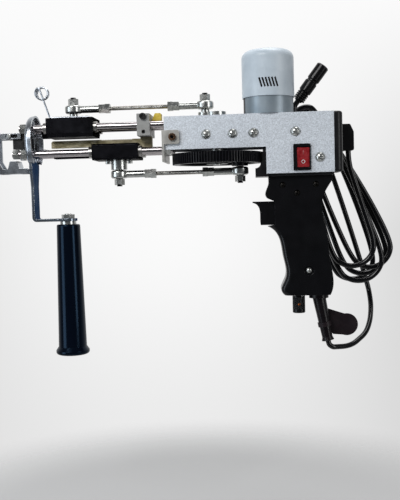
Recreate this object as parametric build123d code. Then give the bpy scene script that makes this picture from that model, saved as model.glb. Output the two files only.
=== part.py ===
from build123d import *
import math
import os

os.makedirs("parts", exist_ok=True)

# A hand-held electric tufting tool. Millimetres. +X runs to the rear, +Z up to the motor, and +Y away from
# the side that carries the switch. The origin is the middle of the pistol grip, where the hand holds it.

# Housing
housing_rear_x = 34.0
housing_length = 183.0
housing_width = 50.0
housing_top_z = 139.0
front_height = 36.0
rear_height = 65.0
plate_thickness = 3.0
rear_cover_thickness = 9.5
rear_cover_wall = 2.5
panel_screw_radius = 3.0
panel_screw_head_radius = 5.4
panel_screw_head_height = 3.2
panel_screw_row_drop = 20.7
adjusting_slot_length = 11.5

# Gear train
gear_module = 1.0
main_gear_teeth = 98
pinion_teeth = 18
pressure_angle = 20.0
gear_backlash = 0.14
gear_face = 12.0
gear_drop = 52.0
gear_shaft_radius = 5.0
ball_bearing_radius = 13.0
ball_bearing_width = 8.0

# Motor
motor_can_radius = 27.4
motor_can_wall = 1.6
motor_can_height = 67.0
motor_cap_wall = 1.2
motor_cap_height = 51.5
motor_cap_rise = 18.5
motor_cap_rounding = 9.0
motor_shaft_radius = 3.0

# Cranks and connecting rods
upper_crank_throw = 12.0
lower_crank_throw = 25.0
upper_rod_length = 148.0
lower_rod_length = 135.5
stud_radius = 3.0
rod_end_radius = 9.4
rod_end_width = 9.0
rod_end_rounding = 2.4
rod_end_shank = 36.0
rod_end_sleeve_radius = 4.0
rod_end_hex_flats = 9.2
rod_end_hex_length = 7.0
link_rod_radius = 2.3
lock_nut_flats = 10.0
lock_nut_length = 5.6
ball_radius = 6.5
ball_width = 10.5
stud_nut_flats = 10.0
stud_nut_height = 6.6
stud_tip = 1.5

# Guide rods and the two carriages that run on them
guide_rod_radius = 4.0
guide_rod_inset = 8.0
upper_rods_z = 131.5
lower_rods_z = 103.5
ring_lead = 153.0
slider_overhang = 7.5
upper_slider_length = 52.0
slider_length_ahead = 27.0
lower_slider_behind = 24.5
upper_slider_height = 21.0
lower_slider_length = 51.0
lower_slider_height = 17.6
bush_radius = 5.6
bush_collar_radius = 6.0
bush_collar = 4.0

# Front ring, its arm and the side handle
ring_side_margin = 14.0
ring_half_height = 29.7
ring_depth = 8.0
ring_shoulder = 5.0
ring_inner_shoulder = 1.5
ring_sheet = 2.0
arm_head_width = 31.0
arm_width = 22.0
arm_sheet = 3.0
arm_foot_z = 28.0
side_handle_setback = 38.2
side_handle_length = 148.0
side_handle_top_radius = 13.2
side_handle_bottom_radius = 16.0
side_handle_flare_radius = 19.0
side_handle_flare_height = 9.0

# Pistol grip, measured from the middle of the hand
grip_depth = 60.0
grip_height = 131.0
grip_top_z = 71.0
grip_bottom_z = grip_top_z - grip_height
grip_half_thickness = 17.0
grip_wall = 3.0
grip_rounding = 6.0
trigger_travel = 6.0

# Cords
cord_radius = 3.0
hank_layer_step = 7.2
hank_near_y = 35.0

# Fits and overruns
running_clearance = 0.04
seat_clearance = 0.02
moving_gap = 0.3
overrun = 1.0

# Places that follow from the sizes above
housing_front_x = housing_rear_x - housing_length
front_bottom_z = housing_top_z - front_height
rear_bottom_z = housing_top_z - rear_height
half_width = housing_width / 2
inner_half_width = half_width - plate_thickness
panel_screw_z = housing_top_z - panel_screw_row_drop
guide_rod_spread = inner_half_width - guide_rod_inset
slider_width = 2 * (guide_rod_spread + slider_overhang)
ring_half_width = guide_rod_spread + ring_side_margin
ring_face_x = housing_front_x - ring_lead
side_handle_x = ring_face_x + side_handle_setback

gear_radius = gear_module * main_gear_teeth / 2
pinion_radius = gear_module * pinion_teeth / 2
gear_outer_radius = gear_radius + gear_module
pinion_outer_radius = pinion_radius + gear_module
gear_to_front = 56.0
gear_x = housing_front_x + gear_to_front
motor_x = gear_x + gear_radius + pinion_radius
notch_gap = 4.0
notch_x = gear_x + gear_outer_radius + notch_gap
gear_bottom_z = housing_top_z - gear_drop
gear_top_z = gear_bottom_z + gear_face

upper_crank_pin_x = gear_x - upper_crank_throw
lower_crank_pin_x = gear_x + lower_crank_throw
upper_stud_x = upper_crank_pin_x - upper_rod_length
lower_stud_x = lower_crank_pin_x - lower_rod_length
upper_link_rise = 13.5
upper_link_z = housing_top_z + upper_link_rise
lower_link_drop = 8.25
lower_link_z = gear_bottom_z - lower_link_drop

upper_slider_x = upper_stud_x
lower_slider_x = lower_stud_x
upper_slider_bottom_z = upper_rods_z - upper_slider_height / 2
upper_slider_top_z = upper_slider_bottom_z + upper_slider_height
lower_slider_bottom_z = lower_rods_z - lower_slider_height / 2
lower_slider_top_z = lower_slider_bottom_z + lower_slider_height
ring_centre_z = (upper_rods_z + lower_rods_z) / 2


def block(low, high):
    """A box between its lowest and its highest corner."""
    spans = [high[k] - low[k] for k in range(3)]
    middle = [(high[k] + low[k]) / 2 for k in range(3)]
    return Pos(*middle) * Box(*spans)


def rod_x(start, end, y, z, radius):
    """A round bar along X."""
    return Pos((start + end) / 2, y, z) * Rot(0, 90, 0) * Cylinder(radius, end - start)


def rod_y(x, start, end, z, radius):
    """A round bar along Y."""
    return Pos(x, (start + end) / 2, z) * Rot(90, 0, 0) * Cylinder(radius, end - start)


def rod_z(x, y, start, end, radius):
    """A round bar along Z."""
    return Pos(x, y, (start + end) / 2) * Cylinder(radius, end - start)


def hex_bar(flats, length):
    """A hexagonal bar along Z from zero, with a flat facing Y."""
    return extrude(RegularPolygon(flats / 2, 6, major_radius=False), length)


def side_profile(points, start_y, end_y):
    """A closed XZ outline made solid between two Y planes."""
    sketch = Plane.XZ * make_face(Polyline(*points, close=True))
    return Pos(0, end_y, 0) * extrude(sketch, end_y - start_y)


def pan_screw(head_radius, head_height, shank_radius, shank_length):
    """A domed cross-recess screw along Z: its head stands above zero."""
    dome = (head_radius**2 + head_height**2) / (2 * head_height)
    head = Pos(0, 0, head_height - dome) * Sphere(dome)
    head &= rod_z(0, 0, 0, head_height, head_radius)
    slot_width_share, slot_length_share, slot_depth_share = 0.24, 1.1, 0.55
    slot = Pos(0, 0, head_height) * Box(
        slot_length_share * head_radius,
        slot_width_share * head_radius,
        2 * slot_depth_share * head_height,
    )
    shank = rod_z(0, 0, -shank_length, 0, shank_radius)
    return head - slot - Rot(0, 0, 90) * slot + shank


def socket_screw(head_radius, head_height, shank_radius, shank_length):
    """A cap screw along Z with a hexagon socket: its head stands above zero."""
    socket_share, depth_share = 1.05, 0.5
    head = rod_z(0, 0, 0, head_height, head_radius)
    socket = hex_bar(socket_share * head_radius, head_height)
    socket = Pos(0, 0, depth_share * head_height) * socket
    return head - socket + rod_z(0, 0, -shank_length, 0, shank_radius)


def facing_near(x, y, z, screw):
    """Turns a screw along Z so that its head faces the near side."""
    return Pos(x, y, z) * Rot(90, 0, 0) * screw


def facing_far(x, y, z, screw):
    """Turns a screw along Z so that its head faces the far side."""
    return Pos(x, y, z) * Rot(-90, 0, 0) * screw


def involute(angle):
    return math.tan(angle) - angle


def gear_outline(teeth, turn=0.0):
    """Points round a spur gear, with a tooth centred on the given angle in degrees."""
    flank_steps = 3
    dedendum_share = 1.25
    pitch = gear_module * teeth / 2
    base = pitch * math.cos(math.radians(pressure_angle))
    tip = pitch + gear_module
    root = pitch - dedendum_share * gear_module
    low = max(base, root)
    half_pitch_angle = math.pi / (2 * teeth) - gear_backlash / (2 * pitch)
    outline = []
    for tooth in range(teeth):
        middle = math.radians(turn) + 2 * math.pi * tooth / teeth
        flank = []
        for step in range(flank_steps + 1):
            radius = low + (tip - low) * step / flank_steps
            half = half_pitch_angle + involute(math.radians(pressure_angle)) - involute(math.acos(base / radius))
            flank.append((radius, half))
        if root < base:
            flank.insert(0, (root, flank[0][1]))
        for radius, half in flank:
            outline.append((radius * math.cos(middle - half), radius * math.sin(middle - half)))
        for radius, half in reversed(flank):
            outline.append((radius * math.cos(middle + half), radius * math.sin(middle + half)))
    return outline


def gear_blank(teeth, width, turn=0.0):
    return extrude(make_face(Polyline(*gear_outline(teeth, turn), close=True)), width)


def biarc(start, start_way, end, end_way):
    """Two arcs that leave start along start_way and reach end along end_way."""
    span = end - start
    ways = start_way + end_way
    spread = 2 * (1 - start_way.dot(end_way))
    along = span.dot(ways)
    reach = (-along + math.sqrt(along**2 + spread * span.dot(span))) / spread
    first = start + start_way * reach
    last = end - end_way * reach
    joint = (first + last) * 0.5
    return [tangent_arc(start, first, joint), tangent_arc(joint, last, end)]


def tangent_arc(start, corner, end):
    """The arc that touches both legs of an even corner."""
    half_turn = (corner - start).get_angle(end - corner) / 2
    leg = (corner - start).length
    radius = leg / math.tan(math.radians(half_turn))
    rise = radius * (1 / math.cos(math.radians(half_turn)) - 1)
    chord_middle = (start + end) * 0.5
    middle = corner + (chord_middle - corner).normalized() * rise
    return ThreePointArc(start, middle, end)


def swept(path, radius):
    """A round tube along a path."""
    section = Plane(origin=path @ 0, z_dir=path % 0) * Circle(radius)
    return sweep(section, path=path)


def least_self_gap(path, radius, steps_per_turn, turns):
    """The narrowest gap between parts of a tube that are over half a turn apart."""
    count = steps_per_turn * turns
    points = [path @ (step / count) for step in range(count + 1)]
    apart = steps_per_turn // 2
    nearest = min(
        (points[i] - points[j]).length for i in range(len(points)) for j in range(i + apart, len(points))
    )
    return nearest - 2 * radius


def save(name, *solids):
    """Writes one node, as one solid or a group of separate ones."""
    shape = solids[0] if len(solids) == 1 else Compound(children=list(solids))
    export_step(shape, f"parts/{name}.step")


# Housing

front_screw_inset = 45.6
second_screw_inset = 74.3
third_screw_lead = 17.0
fourth_screw_lag = 27.8
lower_screw_inset = 15.3
lower_screw_rise = 16.2
panel_screws = [
    (housing_front_x + front_screw_inset, panel_screw_z, False),
    (housing_front_x + second_screw_inset, panel_screw_z, False),
    (motor_x - third_screw_lead, panel_screw_z, True),
    (motor_x + fourth_screw_lag, panel_screw_z, True),
    (housing_rear_x - lower_screw_inset, rear_bottom_z + lower_screw_rise, False),
]

bezel_length = 18.6
bezel_height = 28.3
bezel_lag = 1.8
bezel_rise = 2.5
bezel_x = (notch_x + housing_rear_x) / 2 + bezel_lag
bezel_front_x = bezel_x - bezel_length / 2
bezel_rear_x = bezel_x + bezel_length / 2
bezel_bottom_z = rear_bottom_z + bezel_rise
bezel_top_z = bezel_bottom_z + bezel_height
bezel_proud = 2.0
bezel_lip = 1.2
bezel_z = (bezel_bottom_z + bezel_top_z) / 2
body_front_x = bezel_front_x + bezel_lip
body_rear_x = bezel_rear_x - bezel_lip
body_bottom_z = bezel_bottom_z + bezel_lip
body_top_z = bezel_top_z - bezel_lip

bracket_screw_inset = 9.0
bracket_screw_x = housing_front_x + bracket_screw_inset
bracket_screw_z = 116.5

plate_outline = [
    (housing_front_x, front_bottom_z),
    (notch_x, front_bottom_z),
    (notch_x, rear_bottom_z),
    (housing_rear_x, rear_bottom_z),
    (housing_rear_x, housing_top_z),
    (housing_front_x, housing_top_z),
]
far_plate = side_profile(plate_outline, inner_half_width, half_width)
near_plate = side_profile(plate_outline, -half_width, -inner_half_width)
for x, z, slotted in panel_screws:
    hole = rod_y(x, -half_width - overrun, half_width + overrun, z, panel_screw_radius)
    if slotted:
        travel = (adjusting_slot_length - 2 * panel_screw_radius) / 2
        low = (x - travel, -half_width - overrun, z - panel_screw_radius)
        high = (x + travel, half_width + overrun, z + panel_screw_radius)
        ends = [Pos(side * travel, 0, 0) * hole for side in (-1, 1)]
        hole = block(low, high) + ends
    near_plate -= hole
    far_plate -= hole
bracket_hole = rod_y(
    bracket_screw_x, -half_width - overrun, half_width + overrun, bracket_screw_z, panel_screw_radius
)
near_plate -= bracket_hole
far_plate -= bracket_hole
near_plate -= block(
    (body_front_x, -half_width - overrun, body_bottom_z), (body_rear_x, -inner_half_width + overrun, body_top_z)
)
save("near_side_plate", near_plate)
save("far_side_plate", far_plate)

gear_block_reach = 29.0
gear_block_rear_x = gear_x + gear_block_reach
gear_block_bottom_z = 110.0
upper_rods_seat = 24.0
gear_block = block(
    (housing_front_x, -inner_half_width, gear_block_bottom_z), (gear_block_rear_x, inner_half_width, housing_top_z)
)
gear_block -= rod_z(gear_x, 0, gear_block_bottom_z, housing_top_z, gear_shaft_radius + overrun)
bearing_places = [gear_block_bottom_z, housing_top_z - ball_bearing_width]
for low_z in bearing_places:
    gear_block -= rod_z(gear_x, 0, low_z, low_z + ball_bearing_width, ball_bearing_radius)
for y in (-guide_rod_spread, guide_rod_spread):
    gear_block -= rod_x(
        housing_front_x, housing_front_x + upper_rods_seat, y, upper_rods_z, guide_rod_radius + seat_clearance
    )
for x, z, slotted in panel_screws[:2]:
    gear_block -= rod_y(x, -inner_half_width, inner_half_width, z, panel_screw_radius)
gear_block -= rod_y(bracket_screw_x, -inner_half_width, inner_half_width, bracket_screw_z, panel_screw_radius)
save("gear_block", gear_block)

bearings = [
    rod_z(gear_x, 0, low_z, low_z + ball_bearing_width, ball_bearing_radius - seat_clearance)
    - rod_z(gear_x, 0, low_z, low_z + ball_bearing_width, gear_shaft_radius + running_clearance)
    for low_z in bearing_places
]
save("ball_bearings", *bearings)

motor_mount_ahead = 27.0
motor_mount_behind = 35.0
motor_mount_front_x = motor_x - motor_mount_ahead
motor_mount_rear_x = motor_x + motor_mount_behind
motor_mount_bore = 8.0
motor_mount = block(
    (motor_mount_front_x, -inner_half_width, gear_block_bottom_z),
    (motor_mount_rear_x, inner_half_width, housing_top_z),
)
motor_mount -= rod_z(motor_x, 0, gear_block_bottom_z, housing_top_z, motor_mount_bore)
for x, z, slotted in panel_screws[2:4]:
    motor_mount -= rod_y(x, -inner_half_width, inner_half_width, z, panel_screw_radius)
lead_setback = 28.8
lead_inset = 4.5
lead_x = motor_x + lead_setback
lead_y = inner_half_width - lead_inset
gland_radius = 4.4
gland_height = 3.0
motor_mount += rod_z(lead_x, lead_y, housing_top_z, housing_top_z + gland_height, gland_radius)
save("motor_mount", motor_mount)

cover_rear_x = housing_rear_x + rear_cover_thickness
cover_rounding = 7.0
rear_cover = block((housing_rear_x, -half_width, rear_bottom_z), (cover_rear_x, half_width, housing_top_z))
rear_cover = fillet(rear_cover.edges().filter_by(Axis.Z).group_by(Axis.X)[-1], cover_rounding)
rear_cover = fillet(rear_cover.edges().filter_by(Axis.Y).group_by(Axis.X)[-1], rear_cover_wall)
rear_cover -= block(
    (housing_rear_x, -half_width + rear_cover_wall, rear_bottom_z + rear_cover_wall),
    (cover_rear_x - rear_cover_wall, half_width - rear_cover_wall, housing_top_z - rear_cover_wall),
)
tongue = block(
    (motor_mount_rear_x, -inner_half_width, housing_top_z - plate_thickness),
    (housing_rear_x + overrun, inner_half_width, housing_top_z),
)
rear_cover += tongue
save("rear_cover", rear_cover)

bracket_floor_z = grip_top_z
bracket_reach = 12.0
bracket_front_x = notch_x - bracket_reach
bracket_web_front_x = notch_x - plate_thickness - moving_gap
bracket_block_height = 15.2
bracket_corner = 6.0
pinion_window = 12.0
inner_bracket = block(
    (bracket_front_x, -inner_half_width, bracket_floor_z),
    (housing_rear_x - overrun, inner_half_width, rear_bottom_z),
)
web = block(
    (bracket_web_front_x, -inner_half_width, bracket_floor_z), (notch_x - moving_gap, inner_half_width, front_bottom_z)
)
web -= block(
    (bracket_web_front_x - overrun, -pinion_window, gear_bottom_z - overrun),
    (notch_x + overrun, pinion_window, front_bottom_z + overrun),
)
bracket_block_top_z = bracket_floor_z + bracket_block_height
front_block = block(
    (bracket_front_x, -inner_half_width, bracket_floor_z),
    (bracket_web_front_x, inner_half_width, bracket_block_top_z),
)
front_block -= rod_y(bracket_front_x, -half_width, half_width, bracket_block_top_z, bracket_corner)
inner_bracket += web + front_block
save("inner_bracket", inner_bracket)

bracket_sheet = 2.5
tab_sheet = 3.0
tab_corner = 2.5
bracket_half_width = half_width + tab_sheet
bracket_bottom_z = 90.0
bracket_top_z = 124.0
tab_length = 16.6
tab_bottom_z = 108.8
rod_bracket = block(
    (housing_front_x - bracket_sheet, -bracket_half_width, bracket_bottom_z),
    (housing_front_x, bracket_half_width, bracket_top_z),
)
for side in (-1, 1):
    near_y, far_y = sorted((side * half_width, side * bracket_half_width))
    tab = block((housing_front_x, near_y, tab_bottom_z), (housing_front_x + tab_length, far_y, bracket_top_z))
    rod_bracket += fillet(tab.edges().filter_by(Axis.Y).group_by(Axis.X)[-1], tab_corner)
    rod_bracket -= rod_x(
        housing_front_x - bracket_sheet - overrun,
        housing_front_x + overrun,
        side * guide_rod_spread,
        lower_rods_z,
        guide_rod_radius + seat_clearance,
    )
rod_bracket -= rod_y(
    bracket_screw_x, -bracket_half_width - overrun, bracket_half_width + overrun, bracket_screw_z, panel_screw_radius
)
save("rod_bracket", rod_bracket)

# Pistol grip

back_shares = [
    (0.433, 0.431),
    (0.365, 0.368),
    (0.342, 0.275),
    (0.368, 0.168),
    (0.428, 0.036),
    (0.46, -0.143),
    (0.517, -0.304),
    (0.51, -0.402),
]
front_shares = [
    (-0.423, -0.412),
    (-0.343, -0.313),
    (-0.373, -0.134),
    (-0.45, 0.034),
    (-0.527, 0.089),
    (-0.647, 0.125),
]
hook_shares = [(-0.633, 0.359), (-0.678, 0.395), (-0.643, 0.45)]
grip_front_x = -37.0
grip_rear_x = 32.0
crown_thickness = 5.0
heel_x = 27.7
toe_x = -21.6
trigger_window_x = -31.0
trigger_bottom_z = 18.0
trigger_top_z = 44.0


def on_grip(shares):
    """Outline points from shares of the grip's depth and height."""
    return [(x * grip_depth, z * grip_height) for x, z in shares]


back_line = [(grip_rear_x, grip_top_z - crown_thickness), *on_grip(back_shares), (heel_x, grip_bottom_z)]
front_line = [(toe_x, grip_bottom_z), *on_grip(front_shares)]
hook_line = [*on_grip(hook_shares), (grip_front_x, grip_top_z - crown_thickness)]


mouth_line = [(trigger_window_x, trigger_bottom_z), (trigger_window_x, trigger_top_z)]
crown_line = [(grip_front_x, grip_top_z), (grip_rear_x, grip_top_z)]
lips = Polyline(front_line[-1], *mouth_line, hook_line[0])
crown = Polyline(hook_line[-1], *crown_line, back_line[0])
sole = Line(back_line[-1], front_line[0])
grip_face = make_face([crown, Spline(*back_line), sole, Spline(*front_line), lips, Spline(*hook_line)])
grip = Pos(0, grip_half_thickness, 0) * extrude(Plane.XZ * grip_face, 2 * grip_half_thickness)
side_edges = [edge for edge in grip.edges() if edge.length > 2 * grip_half_thickness + overrun]
palm_edges = [edge for edge in side_edges if edge.center().X > 0 and edge.geom_type == GeomType.BSPLINE]
finger_edges = [edge for edge in side_edges if edge.center().X < 0 and edge.geom_type == GeomType.BSPLINE]
for edges in (palm_edges, finger_edges):
    grip = fillet(edges, grip_rounding)
hollow_half = grip_half_thickness - grip_wall
corner_line = [*crown_line, *back_line, *front_line, *mouth_line, *hook_line]
hollow = offset(make_face(Polyline(*corner_line, close=True)), -grip_wall, kind=Kind.INTERSECTION)
grip -= Pos(0, hollow_half, 0) * extrude(Plane.XZ * hollow, 2 * hollow_half)

trigger_half_width = 7.5
trigger_rear_x = -23.0
switch_front_x = -14.0
switch_rear_x = 6.0
switch_bottom_z = 22.0
switch_top_z = 42.0
switch_half_width = 9.0
grip -= block(
    (trigger_window_x - 2 * grip_wall, -trigger_half_width - moving_gap, trigger_bottom_z - moving_gap),
    (trigger_rear_x + trigger_travel, trigger_half_width + moving_gap, trigger_top_z + moving_gap),
)

knob_x = -6.0
knob_stem_radius = 3.0
grip -= rod_z(knob_x, 0, grip_bottom_z - overrun, grip_bottom_z + grip_wall + overrun, knob_stem_radius + moving_gap)
relief_x = 16.2
relief_plug_radius = 5.0
grip -= rod_z(relief_x, 0, grip_bottom_z - overrun, grip_bottom_z + grip_wall + overrun, relief_plug_radius)

boss_radius = 4.2
grip_screw_radius = 1.75
grip_screw_head_radius = 3.4
grip_screws = [
    (5.1, -32.9, 5.0),
    (-22.0, 61.5, 0.0),
    (14.0, 61.5, 0.0),
    (-6.6, 52.5, 0.0),
]
recess_radius = 5.5
recess_wall = 2.0
for x, z, recess in grip_screws:
    around = recess_radius + recess_wall if recess else boss_radius
    grip += rod_y(x, -grip_half_thickness + overrun, grip_half_thickness - overrun, z, around)
    grip -= rod_y(x, -grip_half_thickness - overrun, hollow_half, z, grip_screw_radius)
    if recess:
        grip -= rod_y(x, -grip_half_thickness - overrun, -grip_half_thickness + recess / 2, z, recess_radius)
half_space = 2 * housing_length
near_half = block((-half_space, -half_space, -half_space), (half_space, 0, half_space))
far_half = block((-half_space, 0, -half_space), (half_space, half_space, half_space))
save("near_grip_shell", grip - far_half)
save("far_grip_shell", grip - near_half)

spring_outer = 3.2
spring_wire = 0.45
spring_pocket = 6.0
spring_front_x = trigger_rear_x - spring_pocket
spring_rear_x = switch_front_x + moving_gap
switch_bore = spring_outer + spring_wire + moving_gap
trigger_z = (trigger_bottom_z + trigger_top_z) / 2
trigger_switch = block(
    (switch_front_x, -switch_half_width, switch_bottom_z), (switch_rear_x, switch_half_width, switch_top_z)
)
switch_bore_end_x = switch_front_x + trigger_travel + 2 * moving_gap + overrun
trigger_switch -= rod_x(switch_front_x, switch_bore_end_x, 0, trigger_z, switch_bore)
switch_rib = block(
    (switch_front_x, -hollow_half, switch_bottom_z),
    (switch_front_x + grip_wall, hollow_half, switch_bottom_z + grip_wall),
)
save("trigger_switch", trigger_switch + switch_rib)

trigger_front_x = -46.4
beak_x = -55.0
beak_top_z = 44.1
beak_thickness = 1.4
beak_root_x = -43.5
throat_x = -48.9
throat_z = 38.8
waist_x = -46.9
waist_z = 29.0
front_edge = Spline(
    (beak_x, beak_top_z - beak_thickness),
    (throat_x, throat_z),
    (waist_x, waist_z),
    (trigger_front_x, trigger_bottom_z),
)
trigger_face = make_face(
    [
        front_edge,
        Polyline(
            (trigger_front_x, trigger_bottom_z),
            (trigger_rear_x, trigger_bottom_z),
            (trigger_rear_x, trigger_top_z),
            (beak_root_x, trigger_top_z),
            (beak_x, beak_top_z),
            (beak_x, beak_top_z - beak_thickness),
        ),
    ]
)
trigger = Pos(0, trigger_half_width, 0) * extrude(Plane.XZ * trigger_face, 2 * trigger_half_width)
trigger -= rod_x(spring_front_x, trigger_rear_x + overrun, 0, trigger_z, spring_outer + spring_wire + seat_clearance)
save("trigger", trigger)

spring_turns = 7
spring_pitch = (spring_rear_x - spring_front_x - 2 * spring_wire) / spring_turns
spring_path = Helix(spring_pitch, spring_turns * spring_pitch, spring_outer)
spring_section = Plane(origin=spring_path @ 0, z_dir=spring_path % 0) * Circle(spring_wire)
spring = sweep(spring_section, path=spring_path, is_frenet=True)
save("trigger_spring", Pos(spring_front_x + spring_wire, 0, trigger_z) * Rot(0, 90, 0) * spring)

pot_half_length = 11.0
pot_bottom_z = grip_bottom_z + grip_wall
pot_height = 10.0
potentiometer = block(
    (knob_x - pot_half_length, -hollow_half + overrun, pot_bottom_z),
    (knob_x + pot_half_length - 2 * overrun, hollow_half - overrun, pot_bottom_z + pot_height),
)
stem_top_z = pot_bottom_z + pot_height / 2
potentiometer -= rod_z(knob_x, 0, pot_bottom_z, stem_top_z + moving_gap, knob_stem_radius + running_clearance)
save("potentiometer", potentiometer)

knob_radius = 7.0
knob_top_z = -62.0
knob_bottom_z = -81.0
knob_flutes = 18
flute_radius = 0.9
flute_end = 4.5
flute_foot = 1.5
flute_length = knob_top_z - knob_bottom_z - flute_end - flute_foot
flute_z = knob_bottom_z + flute_end + flute_length / 2
knob = rod_z(knob_x, 0, knob_bottom_z, knob_top_z, knob_radius)
knob = fillet(knob.edges().group_by(Axis.Z)[0], overrun)
for step in range(knob_flutes):
    turn = 360 / knob_flutes * step
    flute = Pos(knob_radius + flute_radius / 2, 0, flute_z) * Cylinder(flute_radius, flute_length)
    knob -= Pos(knob_x, 0, 0) * Rot(0, 0, turn) * flute
knob += rod_z(knob_x, 0, knob_top_z - overrun, stem_top_z, knob_stem_radius)
save("speed_knob", knob)

relief_tilt = 10.6
relief_collar = 4.5
relief_collar_radius = 10.8
relief_collar_flat = 1.5
relief_length = 51.0
relief_top_radius = 7.4
relief_tip_radius = 5.7
relief_lip_radius = 6.9
relief_lip = 4.0
relief_way = Vector(math.sin(math.radians(relief_tilt)), 0, -math.cos(math.radians(relief_tilt)))
relief_base = Vector(relief_x, 0, grip_bottom_z - relief_collar / 2)
sleeve = Pos(0, 0, relief_length / 2) * Cone(relief_top_radius, relief_tip_radius, relief_length)
sleeve += Pos(0, 0, relief_length - relief_lip / 2) * Cone(relief_tip_radius, relief_lip_radius, relief_lip)
sleeve = Plane(origin=relief_base, z_dir=relief_way) * sleeve
sleeve -= block((-half_space, -half_space, grip_bottom_z), (half_space, half_space, half_space))
strain_relief = rod_z(relief_x, 0, grip_bottom_z - relief_collar, grip_bottom_z, relief_collar_radius)
collar_half_width = grip_half_thickness - relief_collar_flat
strain_relief = strain_relief & block(
    (-half_space, -collar_half_width, -half_space), (half_space, collar_half_width, half_space)
)
strain_relief += sleeve
strain_relief += rod_z(
    relief_x, 0, grip_bottom_z, grip_bottom_z + grip_wall + overrun, relief_plug_radius - seat_clearance
)
save("strain_relief", strain_relief)
relief_tip = relief_base + relief_way * relief_length

# Rocker switch

rocker_length = 13.0
rocker_lag = 1.2
rocker_front_x = bezel_x + rocker_lag - rocker_length / 2
rocker_rear_x = rocker_front_x + rocker_length
rocker_half_height = 10.4
rocker_pivot_inset = 0.8
rocker_pivot_y = -half_width + rocker_pivot_inset
rocker_corner_y = 3.0
rocker_valley_y = 1.7
rocker_back_y = 2.2
rocker_tilt = 9.0
rocker_room_y = 5.2
bezel_depth = 18.0
switch_bezel = block(
    (bezel_front_x, -half_width - bezel_proud, bezel_bottom_z), (bezel_rear_x, -half_width, bezel_top_z)
)
switch_bezel = fillet(switch_bezel.edges().filter_by(Axis.Y), overrun)
switch_bezel += block(
    (body_front_x, -half_width, body_bottom_z), (body_rear_x, -half_width + bezel_depth, body_top_z)
)
switch_bezel -= block(
    (rocker_front_x - moving_gap, -half_width - bezel_proud - overrun, bezel_z - rocker_half_height - 2 * moving_gap),
    (rocker_rear_x + moving_gap, rocker_pivot_y + rocker_room_y, bezel_z + rocker_half_height + 2 * moving_gap),
)
save("switch_bezel", switch_bezel)

rocker_outline = Polyline(
    (-rocker_corner_y, rocker_half_height),
    (-rocker_valley_y, 0),
    (-rocker_corner_y, -rocker_half_height),
    (rocker_back_y, -rocker_half_height),
    (rocker_back_y, rocker_half_height),
    close=True,
)
rocker = extrude(Plane.YZ * make_face(rocker_outline), rocker_rear_x - rocker_front_x)
save("switch_rocker", Pos(rocker_front_x, rocker_pivot_y, bezel_z) * Rot(rocker_tilt, 0, 0) * rocker)

# Gear train

pinion_pitch = 360 / pinion_teeth
main_gear_turn = 0.0
pinion_turn = 180 + pinion_pitch / 2
gear_web_depth = 3.0
gear_rim = 7.0
gear_hub_radius = 12.0
crank_boss_radius = 9.0
crank_boss_drop = 2.7
main_gear = Pos(gear_x, 0, gear_bottom_z) * gear_blank(main_gear_teeth, gear_face, main_gear_turn)
for low_z in (gear_bottom_z, gear_top_z - gear_web_depth):
    well = rod_z(gear_x, 0, low_z, low_z + gear_web_depth, gear_radius - gear_rim)
    well -= rod_z(gear_x, 0, low_z, low_z + gear_web_depth, gear_hub_radius)
    main_gear -= well
main_gear += rod_z(
    lower_crank_pin_x, 0, gear_bottom_z - crank_boss_drop, gear_bottom_z + gear_web_depth, crank_boss_radius
)
gear_shaft_bottom_z = gear_bottom_z - overrun
upper_arm_bottom_z = housing_top_z + overrun
upper_arm_top_z = 144.5
main_gear -= rod_z(gear_x, 0, gear_bottom_z, gear_top_z, gear_shaft_radius + seat_clearance)
save("main_gear", main_gear)

gear_shaft = rod_z(gear_x, 0, gear_shaft_bottom_z, upper_arm_top_z, gear_shaft_radius)
shaft_collar = gear_shaft_radius + 2 * overrun
gear_shaft += rod_z(gear_x, 0, gear_top_z, gear_block_bottom_z - moving_gap, shaft_collar)

crank_hub_radius = 11.0
crank_end_radius = 8.0
crank_arm = rod_z(gear_x, 0, upper_arm_bottom_z, upper_arm_top_z, crank_hub_radius)
crank_arm += rod_z(upper_crank_pin_x, 0, upper_arm_bottom_z, upper_arm_top_z, crank_end_radius)
save("crank_shaft", gear_shaft + crank_arm)

pinion_bottom_z = gear_bottom_z
pinion = Pos(motor_x, 0, pinion_bottom_z) * gear_blank(pinion_teeth, gear_face, pinion_turn)
pinion += rod_z(motor_x, 0, gear_top_z, gear_top_z + gear_web_depth, pinion_radius - 2 * gear_module)
pinion -= rod_z(
    motor_x, 0, pinion_bottom_z, gear_top_z + gear_web_depth, motor_shaft_radius + seat_clearance
)
save("drive_pinion", pinion)

# Motor

cap_top_z = housing_top_z + motor_cap_rise + motor_cap_height
cap_bottom_z = housing_top_z + motor_cap_rise
cap_overlap = 8.0
can_top_z = cap_bottom_z + cap_overlap
motor_can = rod_z(motor_x, 0, housing_top_z, can_top_z, motor_can_radius)
motor_can -= rod_z(motor_x, 0, housing_top_z + motor_can_wall, can_top_z, motor_can_radius - motor_can_wall)
motor_can -= rod_z(motor_x, 0, housing_top_z, can_top_z, motor_shaft_radius + running_clearance)
save("motor_can", motor_can)

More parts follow.
